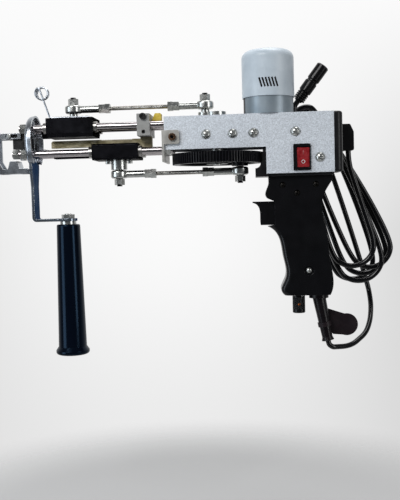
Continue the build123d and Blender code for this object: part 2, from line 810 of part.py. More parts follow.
cap_inner_radius = motor_can_radius + seat_clearance
cap_radius = cap_inner_radius + motor_cap_wall
shaft_top_drop = 5.0
shaft_top_z = cap_top_z - shaft_top_drop
cap_bearing_radius = 7.0
cap_bearing_drop = 8.0
motor_cap = rod_z(motor_x, 0, cap_bottom_z, cap_top_z, cap_radius)
motor_cap = fillet(motor_cap.edges().group_by(Axis.Z)[-1], motor_cap_rounding)
cap_room = rod_z(motor_x, 0, cap_bottom_z, cap_top_z - motor_cap_wall, cap_inner_radius)
cap_room = fillet(cap_room.edges().group_by(Axis.Z)[-1], motor_cap_rounding - motor_cap_wall)
motor_cap -= cap_room
motor_cap += rod_z(
    motor_x, 0, cap_top_z - motor_cap_wall - cap_bearing_drop, cap_top_z - motor_cap_wall, cap_bearing_radius
)
motor_cap -= rod_z(
    motor_x, 0, cap_bottom_z, shaft_top_z + moving_gap, motor_shaft_radius + running_clearance
)
vent_count = 6
vent_pitch = 3.4
vent_width = 1.9
vent_height = 10.4
vent_lean = -16.0
vent_rise = 14.2
vent_z = cap_bottom_z + vent_rise
for step in range(vent_count):
    shift = (step - (vent_count - 1) / 2) * vent_pitch
    slit = Rot(0, vent_lean, 0) * Box(vent_width, motor_can_radius, vent_height)
    motor_cap -= Pos(motor_x + shift, -cap_radius, vent_z) * slit
save("motor_cap", motor_cap)

armature_radius = 21.0
armature_rise = 7.0
armature_drop = 20.0
armature_bottom_z = housing_top_z + armature_rise
armature_top_z = cap_top_z - armature_drop
commutator_radius = 9.0
commutator_drop = 13.0
commutator_top_z = cap_top_z - commutator_drop
armature = rod_z(motor_x, 0, armature_bottom_z, armature_top_z, armature_radius)
armature += rod_z(motor_x, 0, armature_top_z, commutator_top_z, commutator_radius)
armature += rod_z(motor_x, 0, pinion_bottom_z, shaft_top_z, motor_shaft_radius)
save("motor_armature", armature)

# Guide rods, clamp block, cam bar and bump pad

upper_rods_past_ring = 9.5
lower_rods_past_ring = 18.0
lower_rods_seat = 8.0
upper_rods_front_x = ring_face_x - upper_rods_past_ring
lower_rods_front_x = ring_face_x - lower_rods_past_ring
lower_rods_rear_x = housing_front_x + lower_rods_seat
rods = []
for y in (-guide_rod_spread, guide_rod_spread):
    rods.append(rod_x(upper_rods_front_x, housing_front_x + upper_rods_seat, y, upper_rods_z, guide_rod_radius))
    rods.append(rod_x(lower_rods_front_x, lower_rods_rear_x, y, lower_rods_z, guide_rod_radius))
save("guide_rods", *rods)

rod_nut_flats = 10.0
rod_nut_length = 6.0
ring_plate_front_x = ring_face_x - ring_sheet
rod_nut = Rot(0, 90, 0) * Rot(0, 0, 90) * hex_bar(rod_nut_flats, rod_nut_length)
rod_nut -= rod_x(0, rod_nut_length, 0, 0, guide_rod_radius + seat_clearance)
nuts = []
for y in (-guide_rod_spread, guide_rod_spread):
    nuts.append(Pos(ring_plate_front_x - rod_nut_length, y, upper_rods_z) * rod_nut)
    nuts.append(Pos(ring_plate_front_x - rod_nut_length, y, lower_rods_z) * rod_nut)
    nuts.append(Pos(lower_rods_front_x + overrun, y, lower_rods_z) * rod_nut)
    nuts.append(Pos(housing_front_x, y, lower_rods_z) * rod_nut)
save("hex_nuts", *nuts)

clamp_lead = 16.0
clamp_margin = 8.0
clamp_rear_x = housing_front_x - clamp_lead
clamp_half_width = guide_rod_spread + clamp_margin
clamp_length = 14.0
clamp_bottom_z = 119.5
clamp_top_z = 143.5
clamp_front_x = clamp_rear_x - clamp_length
clamp_screw_z = 140.3
clamp_screw_radius = 2.0
clamp_screw_depth = 14.0
open_hole_radius = 2.1
open_hole_depth = 10.0
open_hole_z = 123.8
clamp_x = (clamp_front_x + clamp_rear_x) / 2
clamp_block = block(
    (clamp_front_x, -clamp_half_width, clamp_bottom_z), (clamp_rear_x, clamp_half_width, clamp_top_z)
)
pad_bracket_length = 12.0
pad_front_x = clamp_rear_x + moving_gap
pad_bracket_rear_x = clamp_rear_x + pad_bracket_length
pad_bracket_bottom_z = 131.0
pad_bracket_top_z = 136.5
pad_bracket_half_width = 7.0
clamp_block += block(
    (clamp_rear_x, -pad_bracket_half_width, pad_bracket_bottom_z),
    (pad_bracket_rear_x, pad_bracket_half_width, pad_bracket_top_z),
)
for y in (-guide_rod_spread, guide_rod_spread):
    clamp_block -= rod_x(clamp_front_x, clamp_rear_x, y, upper_rods_z, guide_rod_radius + seat_clearance)
clamp_block -= rod_y(
    clamp_x, -clamp_half_width, clamp_screw_depth - clamp_half_width, clamp_screw_z, clamp_screw_radius
)
clamp_block -= rod_y(
    clamp_x, -clamp_half_width, open_hole_depth - clamp_half_width, open_hole_z, open_hole_radius
)
cam_screw_depth = 12.0
clamp_block -= rod_z(clamp_x, 0, clamp_bottom_z, clamp_bottom_z + cam_screw_depth, clamp_screw_radius)
save("clamp_block", clamp_block)

pad_top_z = 145.0
pad_half_width = 6.0
pad_slope = 4.0
pad_rounding = 1.2
pad_rear_x = pad_bracket_rear_x - overrun
pad_points = [
    (pad_front_x, pad_bracket_top_z),
    (pad_rear_x, pad_bracket_top_z),
    (pad_rear_x, pad_top_z),
    (pad_front_x + pad_slope, pad_top_z),
]
bump_pad = side_profile(pad_points, -pad_half_width, pad_half_width)
bump_pad = fillet(bump_pad.edges().filter_by(Axis.Y).group_by(Axis.Z)[-1], pad_rounding)
save("bump_pad", bump_pad)

cam_length = 114.0
cam_front_x = clamp_rear_x - cam_length
cam_half_width = 3.0
cam_bottom_z = 110.0
cam_top_z = 118.0
cam_foot_bottom_z = 107.6
cam_foot_front_x = clamp_front_x + overrun
tooth_pitch = 2.5
tooth_height = 1.6
tooth_setback = 57.0
tooth_front_x = clamp_rear_x - tooth_setback
tooth_count = 14
cam_points = [
    (clamp_rear_x, clamp_bottom_z),
    (clamp_rear_x, cam_foot_bottom_z),
    (cam_foot_front_x, cam_foot_bottom_z),
    (cam_foot_front_x, cam_bottom_z),
    (cam_front_x, cam_bottom_z),
    (cam_front_x, cam_top_z - tooth_height),
    (cam_front_x + tooth_height, cam_top_z),
]
for step in range(tooth_count):
    at = tooth_front_x + step * tooth_pitch
    cam_points += [(at, cam_top_z), (at, cam_top_z - tooth_height)]
cam_points += [
    (tooth_front_x + tooth_count * tooth_pitch, cam_top_z),
    (cam_foot_front_x, cam_top_z),
    (cam_foot_front_x, clamp_bottom_z),
]
cam_bar = side_profile(cam_points, -cam_half_width, cam_half_width)
cam_bar -= rod_z(clamp_x, 0, cam_foot_bottom_z, clamp_bottom_z, clamp_screw_radius + seat_clearance)
save("cam_bar", cam_bar)

# Front ring, handle arm and side handle

ring_plate_share = 0.955
ring_plate_half_width = ring_plate_share * ring_half_width
ring_plate_half_height = ring_plate_share * ring_half_height
ring_rim_x = ring_plate_front_x + ring_depth
ring_slot_inset = 5.0
ring_slot_half_width = guide_rod_spread - ring_slot_inset
ring_slot_bottom_z = 96.0
ring_slot_top_z = 130.0
arm_top_z = 95.4


def ring_cone(inset, start_x, end_x):
    """The solid body of the dish: an oval that widens towards the rear."""
    narrow = Plane(origin=(start_x, 0, ring_centre_z), x_dir=(0, 1, 0), z_dir=(1, 0, 0)) * Ellipse(
        ring_plate_half_width - inset, ring_plate_half_height - inset
    )
    wide = Plane(origin=(end_x, 0, ring_centre_z), x_dir=(0, 1, 0), z_dir=(1, 0, 0)) * Ellipse(
        ring_half_width - inset, ring_half_height - inset
    )
    return loft([narrow, wide])


front_ring = ring_cone(0, ring_plate_front_x, ring_rim_x)
front_ring = fillet(front_ring.edges().group_by(Axis.X)[0], ring_shoulder)
ring_room = ring_cone(ring_sheet, ring_face_x, ring_rim_x + overrun)
ring_room = fillet(ring_room.edges().group_by(Axis.X)[0], ring_inner_shoulder)
front_ring -= ring_room
front_ring -= block(
    (ring_plate_front_x, -ring_slot_half_width, ring_slot_bottom_z),
    (ring_face_x, ring_slot_half_width, ring_slot_top_z),
)
arm_notch_half_width = arm_head_width / 2 + moving_gap
front_ring -= block(
    (ring_face_x, -arm_notch_half_width, ring_centre_z - ring_half_height - overrun),
    (ring_rim_x + overrun, arm_notch_half_width, arm_top_z + moving_gap),
)
for y in (-guide_rod_spread, guide_rod_spread):
    for z in (upper_rods_z, lower_rods_z):
        front_ring -= rod_x(ring_plate_front_x, ring_face_x, y, z, guide_rod_radius + seat_clearance)
save("front_ring", front_ring)

arm_foot_margin = 9.5
arm_corner = 7.0
arm_rear_x = side_handle_x + arm_foot_margin
arm_bend = 5.0
arm_flare_length = 20.0
handle_bolt_radius = 4.0
arm_rear_face_x = ring_face_x + arm_sheet
arm_shoulder_z = ring_centre_z - ring_half_height
arm_flare_z = arm_shoulder_z - arm_flare_length
handle_arm = block((ring_face_x, -arm_width / 2, arm_foot_z), (arm_rear_face_x, arm_width / 2, arm_flare_z))
handle_arm += block((ring_face_x, -arm_head_width / 2, arm_shoulder_z), (arm_rear_face_x, arm_head_width / 2, arm_top_z))
arm_flare = Plane.YZ * make_face(
    Polyline(
        (-arm_width / 2, arm_flare_z),
        (arm_width / 2, arm_flare_z),
        (arm_head_width / 2, arm_shoulder_z),
        (-arm_head_width / 2, arm_shoulder_z),
        close=True,
    )
)
handle_arm += Pos(ring_face_x, 0, 0) * extrude(arm_flare, arm_sheet)
arm_foot = block((ring_face_x, -arm_width / 2, arm_foot_z), (arm_rear_x, arm_width / 2, arm_foot_z + arm_sheet))
handle_arm += fillet(arm_foot.edges().filter_by(Axis.Z).group_by(Axis.X)[-1], arm_corner)
inner_bend = handle_arm.edges().filter_by(Axis.Y).filter_by_position(
    Axis.X, arm_rear_face_x - seat_clearance, arm_rear_face_x + seat_clearance
)
handle_arm = fillet(inner_bend.sort_by(Axis.Z)[0], arm_bend - arm_sheet)
outer_bend = handle_arm.edges().filter_by(Axis.Y).group_by(Axis.Z)[0].sort_by(Axis.X)[0]
handle_arm = fillet(outer_bend, arm_bend)
handle_arm -= rod_z(
    side_handle_x, 0, arm_foot_z, arm_foot_z + arm_sheet, handle_bolt_radius + seat_clearance
)
save("handle_arm", handle_arm)

washer_height = 3.5
washer_radius = 9.0
handle_top_z = arm_foot_z - washer_height
bolt_depth = 40.0
bolt_nut_height = 4.5
bolt_tip = 0.8
bolt_nut_flats = 13.0
flare_z = handle_top_z - side_handle_length + side_handle_flare_height
handle_height = handle_top_z - flare_z
grip_body = Pos(side_handle_x, 0, (handle_top_z + flare_z) / 2) * Cone(
    side_handle_bottom_radius, side_handle_top_radius, handle_height
)
flare = Pos(side_handle_x, 0, flare_z - side_handle_flare_height / 4) * Cone(
    side_handle_flare_radius, side_handle_bottom_radius, side_handle_flare_height / 2
)
side_handle = grip_body + flare
foot_round_z = flare_z - side_handle_flare_height / 2
foot_z = foot_round_z - side_handle_flare_height / 2
side_handle += rod_z(side_handle_x, 0, foot_z, foot_round_z, side_handle_flare_radius)
side_handle = fillet(side_handle.edges().group_by(Axis.Z)[0], side_handle_flare_height / 3)
side_handle = fillet(side_handle.edges().group_by(Axis.Z)[-1], 2 * overrun)
side_handle -= rod_z(
    side_handle_x, 0, handle_top_z - bolt_depth, handle_top_z, handle_bolt_radius + seat_clearance
)
save("side_handle", side_handle)

bolt_top_z = arm_foot_z + arm_sheet + bolt_nut_height + bolt_tip
bolt = rod_z(side_handle_x, 0, handle_top_z - bolt_depth + overrun, bolt_top_z, handle_bolt_radius)
washer = rod_z(side_handle_x, 0, handle_top_z, arm_foot_z, washer_radius)
washer -= rod_z(side_handle_x, 0, handle_top_z, arm_foot_z, handle_bolt_radius + seat_clearance)
bolt_nut = hex_bar(bolt_nut_flats, bolt_nut_height) - rod_z(
    0, 0, 0, bolt_nut_height, handle_bolt_radius + seat_clearance
)
bolt_nut = Pos(side_handle_x, 0, arm_foot_z + arm_sheet) * bolt_nut
save("handle_bolt", bolt, washer, bolt_nut)

# Upper slider, needle and yarn eyelet

upper_slider_front_x = upper_slider_x - slider_length_ahead
upper_slider_rear_x = upper_slider_front_x + upper_slider_length
slider_chamfer = 6.0
upper_slider = block(
    (upper_slider_front_x, -slider_width / 2, upper_slider_bottom_z),
    (upper_slider_rear_x, slider_width / 2, upper_slider_top_z),
)
upper_slider = chamfer(upper_slider.edges().filter_by(Axis.X).group_by(Axis.Z)[0], slider_chamfer - 2 * overrun)
for y in (-guide_rod_spread, guide_rod_spread):
    upper_slider -= rod_x(upper_slider_front_x, upper_slider_rear_x, y, upper_rods_z, bush_radius)


def bushes(front_x, rear_x, z):
    """Four collared bushes: one at each end of both bores."""
    length = (rear_x - front_x) / 3
    found = []
    for y in (-guide_rod_spread, guide_rod_spread):
        for outer, inner in ((front_x - bush_collar, front_x + length), (rear_x + bush_collar, rear_x - length)):
            low, high = sorted((outer, inner))
            face = front_x if outer < front_x else rear_x
            bush = rod_x(low, high, y, z, bush_radius - seat_clearance)
            bush += rod_x(*sorted((outer, face)), y, z, bush_collar_radius)
            bush -= rod_x(low, high, y, z, guide_rod_radius + running_clearance)
            found.append(bush)
    return found


save("upper_bushes", *bushes(upper_slider_front_x, upper_slider_rear_x, upper_rods_z))

needle_z = 123.7
needle_radius = 1.9
needle_bore = 1.2
needle_reach = 79.0
needle_tip_x = upper_slider_front_x - needle_reach
needle_seat = 14.0
needle_slant = 9.0
nose_radius = 4.4
nose_length = 9.0
nose_z = upper_slider_bottom_z + nose_radius
nose = rod_x(upper_slider_front_x - nose_length, upper_slider_front_x, 0, nose_z, nose_radius)
nose += rod_x(upper_slider_front_x, upper_slider_front_x + needle_seat, 0, nose_z, nose_radius)
upper_slider += nose
upper_slider -= rod_x(
    upper_slider_front_x - nose_length, upper_slider_front_x + needle_seat, 0, needle_z, needle_radius + seat_clearance
)
stud_thread_depth = 9.0
upper_slider -= rod_z(
    upper_stud_x, 0, upper_slider_top_z - stud_thread_depth, upper_slider_top_z, stud_radius + seat_clearance
)
leg_y = -11.0
save("upper_slider", upper_slider)

needle = rod_x(needle_tip_x, upper_slider_front_x + needle_seat, 0, needle_z, needle_radius)
needle -= rod_x(needle_tip_x, upper_slider_front_x + needle_seat, 0, needle_z, needle_bore)
needle -= side_profile(
    [
        (needle_tip_x - overrun, needle_z + needle_radius + overrun),
        (needle_tip_x + needle_slant, needle_z + needle_radius + overrun),
        (needle_tip_x - overrun, needle_z - needle_radius),
    ],
    -2 * needle_radius,
    2 * needle_radius,
)
save("needle", needle)

eyelet_wire_radius = 1.0
eyelet_radius = 6.8
eyelet_pitch = 4.3
eyelet_ahead = 6.5
eyelet_x = upper_slider_front_x - eyelet_ahead
eyelet_z = 171.0
eyelet_leg_z = upper_slider_top_z + eyelet_wire_radius
eyelet_turns = 2
eyelet_start = 135.0
eyelet_quarters = 4 * eyelet_turns + 1
leg_length = 44.0
leg_lean = 18.8
leg_bend = 3.0
eyelet_bend = 2.0
climb = eyelet_pitch / (2 * math.pi * eyelet_radius)


def eyelet_place(quarters):
    """Place and direction of the coil's wire, counted in quarter turns from its start."""
    angle = math.radians(eyelet_start) + math.pi / 2 * quarters
    place = Vector(
        eyelet_x + eyelet_radius * math.cos(angle),
        leg_y + eyelet_pitch * quarters / 4,
        eyelet_z + eyelet_radius * math.sin(angle),
    )
    return place, Vector(-math.sin(angle), climb, math.cos(angle)).normalized()


coil_start, coil_way = eyelet_place(0)
lean = math.tan(math.radians(leg_lean))
off_leg = coil_start.X - eyelet_x + (coil_start.Z - eyelet_z) * lean
coil_corner = coil_start - coil_way * (off_leg / (coil_way.X + coil_way.Z * lean))
leg_turn = Vector(eyelet_x + (eyelet_z - eyelet_leg_z) * lean, leg_y - eyelet_bend, eyelet_leg_z)
leg_foot = leg_turn + Vector(leg_length, 0, 0)
leg_path = FilletPolyline(leg_foot, leg_turn, coil_corner, coil_start, radius=[leg_bend, eyelet_bend])
coil_edges = []
for quarter in range(eyelet_quarters):
    coil_edges += biarc(*eyelet_place(quarter), *eyelet_place(quarter + 1))
save("yarn_eyelet", swept(Wire([*leg_path.edges(), *coil_edges]), eyelet_wire_radius))
print("eyelet gap to itself", least_self_gap(Wire(coil_edges), eyelet_wire_radius, 40, eyelet_turns))

# Lower slider and scissors

lower_slider_rear_x = lower_slider_x + lower_slider_behind
lower_slider_front_x = lower_slider_rear_x - lower_slider_length
cam_groove_depth = 3.3
nose_bar_lead = 72.5
nose_bar_front_x = lower_slider_x - nose_bar_lead
nose_bar_margin = 4.5
nose_bar_half_width = guide_rod_spread - guide_rod_radius - nose_bar_margin
nose_bar_bottom_z = 98.0
nose_bar_top_z = 106.0
blade_thickness = 1.5
blade_gap = 0.4
blade_slot_length = 14.0
lower_slider = block(
    (lower_slider_front_x, -slider_width / 2, lower_slider_bottom_z),
    (lower_slider_rear_x, slider_width / 2, lower_slider_top_z),
)
lower_slider = chamfer(lower_slider.edges().filter_by(Axis.X), 2 * overrun)
lower_slider += block(
    (nose_bar_front_x, -nose_bar_half_width, nose_bar_bottom_z),
    (lower_slider_front_x, nose_bar_half_width, nose_bar_top_z),
)
lower_slider -= block(
    (lower_slider_front_x, -cam_half_width - overrun, lower_slider_top_z - cam_groove_depth),
    (lower_slider_rear_x, cam_half_width + overrun, lower_slider_top_z),
)
for y in (-guide_rod_spread, guide_rod_spread):
    lower_slider -= rod_x(lower_slider_front_x, lower_slider_rear_x, y, lower_rods_z, bush_radius)
fixed_blade_y = blade_gap / 2
lower_slider -= block(
    (nose_bar_front_x, -fixed_blade_y - blade_thickness - moving_gap, nose_bar_bottom_z),
    (nose_bar_front_x + blade_slot_length, fixed_blade_y + blade_thickness, nose_bar_top_z),
)
blade_pivot_inset = 4.0
blade_pivot_x = nose_bar_front_x + blade_pivot_inset
blade_pivot_z = 103.0
rivet_radius = 1.6
lower_slider -= rod_y(blade_pivot_x, -nose_bar_half_width, nose_bar_half_width, blade_pivot_z, rivet_radius)
lower_slider -= rod_z(
    lower_stud_x, 0, lower_slider_bottom_z, lower_slider_bottom_z + stud_thread_depth, stud_radius + seat_clearance
)
slider_screw_spacing = 12.5
slider_screw_radius = 1.5
slider_screw_head_radius = 2.8
slider_screw_head_height = 4.0
slider_screw_length = 6.0
slider_screws = []
for x in (lower_stud_x - slider_screw_spacing, lower_stud_x + slider_screw_spacing):
    lower_slider -= rod_z(
        x, 0, lower_slider_bottom_z, lower_slider_bottom_z + slider_screw_length, slider_screw_radius
    )
    slider_screw = socket_screw(
        slider_screw_head_radius, slider_screw_head_height, slider_screw_radius, slider_screw_length
    )
    slider_screws.append(Pos(x, 0, lower_slider_bottom_z) * Rot(180, 0, 0) * slider_screw)
save("lower_slider", lower_slider)
save("lower_bushes", *bushes(lower_slider_front_x, lower_slider_rear_x, lower_rods_z))

blade_length = 41.0
blade_width = 6.4
blade_tip_width = 1.6
blade_drop = 1.6
blade_tail = 8.0
blade_open = 8.0
blade_rise = 13.0


def blade(edge_side):
    """One blade with its pivot at the origin, pointing forward, seen from the side."""
    low = -blade_width / 2
    high = blade_width / 2
    tip_low = edge_side * blade_drop - blade_tip_width / 2
    outline = [(blade_tail, low), (-2 * blade_width, low), (-blade_length, tip_low)]
    outline += [(-blade_length, tip_low + blade_tip_width), (-2 * blade_width, high), (blade_tail, high)]
    return side_profile(outline, 0, blade_thickness)


fixed_blade = Pos(0, fixed_blade_y, 0) * blade(-1)
fixed_blade -= rod_y(0, fixed_blade_y, fixed_blade_y + blade_thickness, 0, rivet_radius)
fixed_blade = Pos(blade_pivot_x, 0, blade_pivot_z) * Rot(0, blade_rise, 0) * fixed_blade
rivet = rod_y(
    blade_pivot_x, -nose_bar_half_width - overrun, nose_bar_half_width + overrun, blade_pivot_z, rivet_radius
)
save("fixed_blade", fixed_blade, rivet)
moving_blade = Pos(0, -fixed_blade_y - blade_thickness, 0) * blade(1)
moving_blade -= rod_y(
    0, -fixed_blade_y - blade_thickness, -fixed_blade_y, 0, rivet_radius + running_clearance
)
moving_blade = Pos(blade_pivot_x, 0, blade_pivot_z) * Rot(0, blade_rise - blade_open, 0) * moving_blade
save("moving_blade", moving_blade)

# Studs, ball ends and connecting rods


def hex_x(start, end, y, z, flats):
    """A hexagonal bar along X, with flats above and below."""
    return Pos(start, y, z) * Rot(0, 90, 0) * Rot(0, 0, 90) * hex_bar(flats, end - start)


def ball(x, z):
    """The ball inside a rod end, drilled for its stud."""
    solid = Pos(x, 0, z) * Sphere(ball_radius)
    solid &= rod_z(x, 0, z - ball_width / 2, z + ball_width / 2, ball_radius)
    return solid - rod_z(x, 0, z - ball_width / 2, z + ball_width / 2, stud_radius)


def stud(x, flange_z, link_z, thread_end_z, flange_radius):
    """A stud along Z: thread in its carrier, flange up to the ball, and a tip past the nut."""
    away = 1 if link_z > flange_z else -1
    ball_face = link_z - away * ball_width / 2
    tip = link_z + away * (ball_width / 2 + stud_nut_height + stud_tip)
    solid = rod_z(x, 0, *sorted((flange_z, ball_face)), flange_radius)
    return solid + rod_z(x, 0, *sorted((thread_end_z, tip)), stud_radius)


def stud_nut(x, link_z, away):
    """The nut on the outer face of the ball."""
    low, high = sorted((link_z + away * ball_width / 2, link_z + away * (ball_width / 2 + stud_nut_height)))
    nut = Pos(x, 0, low) * hex_bar(stud_nut_flats, high - low)
    return nut - rod_z(x, 0, low, high, stud_radius + seat_clearance)


def rod_end(x, z, way):
    """A ball end's housing, its sleeve and its hexagon, pointing along X by way."""
    hex_start = rod_end_shank - rod_end_hex_length
    solid = rod_z(x, 0, z - rod_end_width / 2, z + rod_end_width / 2, rod_end_radius)
    solid = fillet(solid.edges().filter_by(GeomType.CIRCLE), rod_end_rounding)
    solid += rod_x(*sorted((x, x + way * hex_start)), 0, z, rod_end_sleeve_radius)
    solid += hex_x(*sorted((x + way * hex_start, x + way * rod_end_shank)), 0, z, rod_end_hex_flats)
    solid -= Pos(x, 0, z) * Sphere(ball_radius + running_clearance)
    thread_start = ball_radius + 2 * rod_end_sleeve_radius
    solid -= rod_x(*sorted((x + way * thread_start, x + way * rod_end_shank)), 0, z, link_rod_radius + seat_clearance)
    return solid


def lock_nut(x, z, way):
    """The nut that holds a rod end on the threaded rod."""
    low, high = sorted((x + way * rod_end_shank, x + way * (rod_end_shank + lock_nut_length)))
    return hex_x(low, high, 0, z, lock_nut_flats) - rod_x(low, high, 0, z, link_rod_radius + seat_clearance)


def link_rod(front_x, rear_x, z):
    """The thin threaded rod between two ball ends."""
    reach = ball_radius + 2 * rod_end_sleeve_radius + overrun
    return rod_x(front_x + reach, rear_x - reach, 0, z, link_rod_radius)


slider_flange_radius = 4.6
lower_flange_radius = 9.0
crank_flange_radius = 4.6
upper_crank_face_z = upper_arm_top_z + moving_gap
lower_crank_face_z = gear_bottom_z - crank_boss_drop - moving_gap
save(
    "upper_slider_stud",
    stud(upper_stud_x, upper_slider_top_z, upper_link_z, upper_slider_top_z - stud_thread_depth, slider_flange_radius),
    ball(upper_stud_x, upper_link_z),
    stud_nut(upper_stud_x, upper_link_z, 1),
)
save("upper_rod_ends", rod_end(upper_stud_x, upper_link_z, 1), rod_end(upper_crank_pin_x, upper_link_z, -1))
save("upper_link_rod", link_rod(upper_stud_x, upper_crank_pin_x, upper_link_z))
save(
    "upper_rod_fasteners",
    lock_nut(upper_stud_x, upper_link_z, 1),
    lock_nut(upper_crank_pin_x, upper_link_z, -1),
    stud(upper_crank_pin_x, upper_crank_face_z, upper_link_z, upper_crank_face_z, crank_flange_radius),
    ball(upper_crank_pin_x, upper_link_z),
    stud_nut(upper_crank_pin_x, upper_link_z, 1),
)
save(
    "lower_slider_stud",
    stud(lower_stud_x, lower_slider_bottom_z, lower_link_z, lower_slider_bottom_z + stud_thread_depth, lower_flange_radius),
    ball(lower_stud_x, lower_link_z),
    stud_nut(lower_stud_x, lower_link_z, -1),
    *slider_screws,
)
save("lower_rod_ends", rod_end(lower_stud_x, lower_link_z, 1), rod_end(lower_crank_pin_x, lower_link_z, -1))
save("lower_link_rod", link_rod(lower_stud_x, lower_crank_pin_x, lower_link_z))
lower_crank_stud = rod_z(
    lower_crank_pin_x,
    0,
    lower_link_z - ball_width / 2 - stud_nut_height - stud_tip,
    lower_crank_face_z,
    stud_radius,
)
save(
    "lower_rod_fasteners",
    lock_nut(lower_stud_x, lower_link_z, 1),
    lock_nut(lower_crank_pin_x, lower_link_z, -1),
    lower_crank_stud,
    ball(lower_crank_pin_x, lower_link_z),
    stud_nut(lower_crank_pin_x, lower_link_z, -1),
)

# Presser foot and the block that holds it

foot_lead = 41.0
foot_upright_length = 6.0
foot_bar_gap = 8.0
foot_sole_gap = 2.0
foot_front_x = ring_plate_front_x - foot_lead
foot_upright_rear_x = foot_front_x + foot_upright_length
foot_rear_x = ring_plate_front_x - foot_bar_gap
foot_sole_rear_x = ring_plate_front_x - foot_sole_gap
foot_top_z = 127.8
foot_bar_bottom_z = 121.4
foot_bottom_z = 82.5
foot_sole_top_z = 88.4
foot_corner = 5.0
foot_corner_rise = 8.5
cheek_inner_y = 6.5
cheek_thickness = 3.0
cheek_outer_y = cheek_inner_y + cheek_thickness
cheek_points = [
    (foot_rear_x, foot_bar_bottom_z),
    (foot_rear_x, foot_top_z),
    (foot_front_x, foot_top_z),
    (foot_front_x, foot_bottom_z),
    (foot_sole_rear_x, foot_bottom_z),
    (foot_sole_rear_x, foot_sole_top_z),
    (foot_upright_rear_x + foot_corner, foot_sole_top_z),
    (foot_upright_rear_x, foot_sole_top_z + foot_corner_rise),
    (foot_upright_rear_x, foot_bar_bottom_z),
]
foot_screw_lead = 21.5
foot_screw_x = ring_plate_front_x - foot_screw_lead
foot_screw_z = (foot_top_z + foot_bar_bottom_z) / 2
foot_screw_radius = 1.5
foot_forward = 8.0
foot_back = 2.0
slot_low_x = foot_screw_x - foot_back - foot_screw_radius - moving_gap
slot_high_x = foot_screw_x + foot_forward + foot_screw_radius + moving_gap
presser_foot = side_profile(cheek_points, cheek_inner_y, cheek_outer_y)
presser_foot += side_profile(cheek_points, -cheek_outer_y, -cheek_inner_y)
presser_foot += block(
    (foot_front_x, -cheek_outer_y, foot_bottom_z), (foot_upright_rear_x, cheek_outer_y, foot_sole_top_z)
)
tie_setback = 17.0
tie_front_x = foot_front_x + tie_setback
tie_length = 13.0
tie_slope = 2.5
tie_top_z = 96.8
tie_points = [
    (tie_front_x, foot_sole_top_z),
    (tie_front_x + tie_length, foot_sole_top_z),
    (tie_front_x + tie_length - tie_slope, tie_top_z),
    (tie_front_x + tie_slope, tie_top_z),
]
presser_foot += side_profile(tie_points, -cheek_outer_y, cheek_outer_y)
presser_foot += block(
    (tie_front_x, -cheek_outer_y, foot_bottom_z), (tie_front_x + tie_length, cheek_outer_y, foot_sole_top_z)
)
slot_half_height = foot_screw_radius + moving_gap
presser_foot -= block(
    (slot_low_x, -cheek_outer_y, foot_screw_z - slot_half_height),
    (slot_high_x, cheek_outer_y, foot_screw_z + slot_half_height),
)
save("presser_foot", presser_foot)

foot_block_half_width = cheek_inner_y - moving_gap
foot_block_length = 18.0
foot_block_head_length = 7.0
foot_block_front_x = ring_plate_front_x - foot_block_length
foot_block_head_x = foot_block_front_x - foot_block_head_length
foot_block_bottom_z = 110.0
foot_block_shoulder_z = 121.0
foot_block_top_z = 127.4
foot_flange_half_width = 13.0
foot_flange_thickness = 3.0
foot_flange_top_z = 124.4
scissor_slot_half_width = 2.6
scissor_slot_top_z = 117.6
foot_block = block(
    (foot_block_front_x, -foot_block_half_width, foot_block_bottom_z),
    (ring_plate_front_x, foot_block_half_width, foot_block_top_z),
)
foot_block += block(
    (foot_block_head_x, -foot_block_half_width, foot_block_shoulder_z),
    (foot_block_front_x, foot_block_half_width, foot_block_top_z),
)
foot_block += block(
    (ring_plate_front_x - foot_flange_thickness, -foot_flange_half_width, foot_block_bottom_z),
    (ring_plate_front_x, foot_flange_half_width, foot_flange_top_z),
)
foot_block -= block(
    (foot_block_front_x, -scissor_slot_half_width, foot_block_bottom_z),
    (ring_plate_front_x, scissor_slot_half_width, scissor_slot_top_z),
)
foot_block -= rod_x(foot_block_head_x, ring_plate_front_x, 0, needle_z, needle_radius + 2 * moving_gap)
foot_screw_length = cheek_thickness + 2 * moving_gap + foot_screw_radius + overrun
for side in (-1, 1):
    outer = side * (cheek_outer_y + moving_gap)
    low, high = sorted((outer, outer - side * foot_screw_length))
    foot_block -= rod_y(foot_screw_x, low, high, foot_screw_z, foot_screw_radius)
save("foot_block", foot_block)

# Screws

plate_screw_length = 12.0
plate_screw = pan_screw(panel_screw_head_radius, panel_screw_head_height, panel_screw_radius, plate_screw_length)
thin_screw = pan_screw(
    panel_screw_head_radius, panel_screw_head_height, panel_screw_radius, plate_thickness
)
screws = []
for index, (x, z, slotted) in enumerate(panel_screws):
    screw = plate_screw if index < len(panel_screws) - 1 else thin_screw
    screws.append(facing_near(x, -half_width, z, screw))
    screws.append(facing_far(x, half_width, z, screw))
bracket_head_radius = 4.0
bracket_head_height = 2.4
bracket_screw = socket_screw(bracket_head_radius, bracket_head_height, panel_screw_radius, plate_screw_length)
screws.append(facing_near(bracket_screw_x, -bracket_half_width, bracket_screw_z, bracket_screw))
screws.append(facing_far(bracket_screw_x, bracket_half_width, bracket_screw_z, bracket_screw))
foot_head_radius = 2.7
foot_head_height = 1.6
foot_screw = pan_screw(foot_head_radius, foot_head_height, foot_screw_radius, foot_screw_length)
screws.append(facing_near(foot_screw_x, -cheek_outer_y - moving_gap, foot_screw_z, foot_screw))
screws.append(facing_far(foot_screw_x, cheek_outer_y + moving_gap, foot_screw_z, foot_screw))
grip_head_height = 2.0
for x, z, recess in grip_screws:
    seat_y = -grip_half_thickness + recess / 2 if recess else -grip_half_thickness
    screw = pan_screw(grip_screw_head_radius, grip_head_height, grip_screw_radius, grip_half_thickness)
    screws.append(facing_near(x, seat_y, z, screw))
save("housing_screws", *screws)

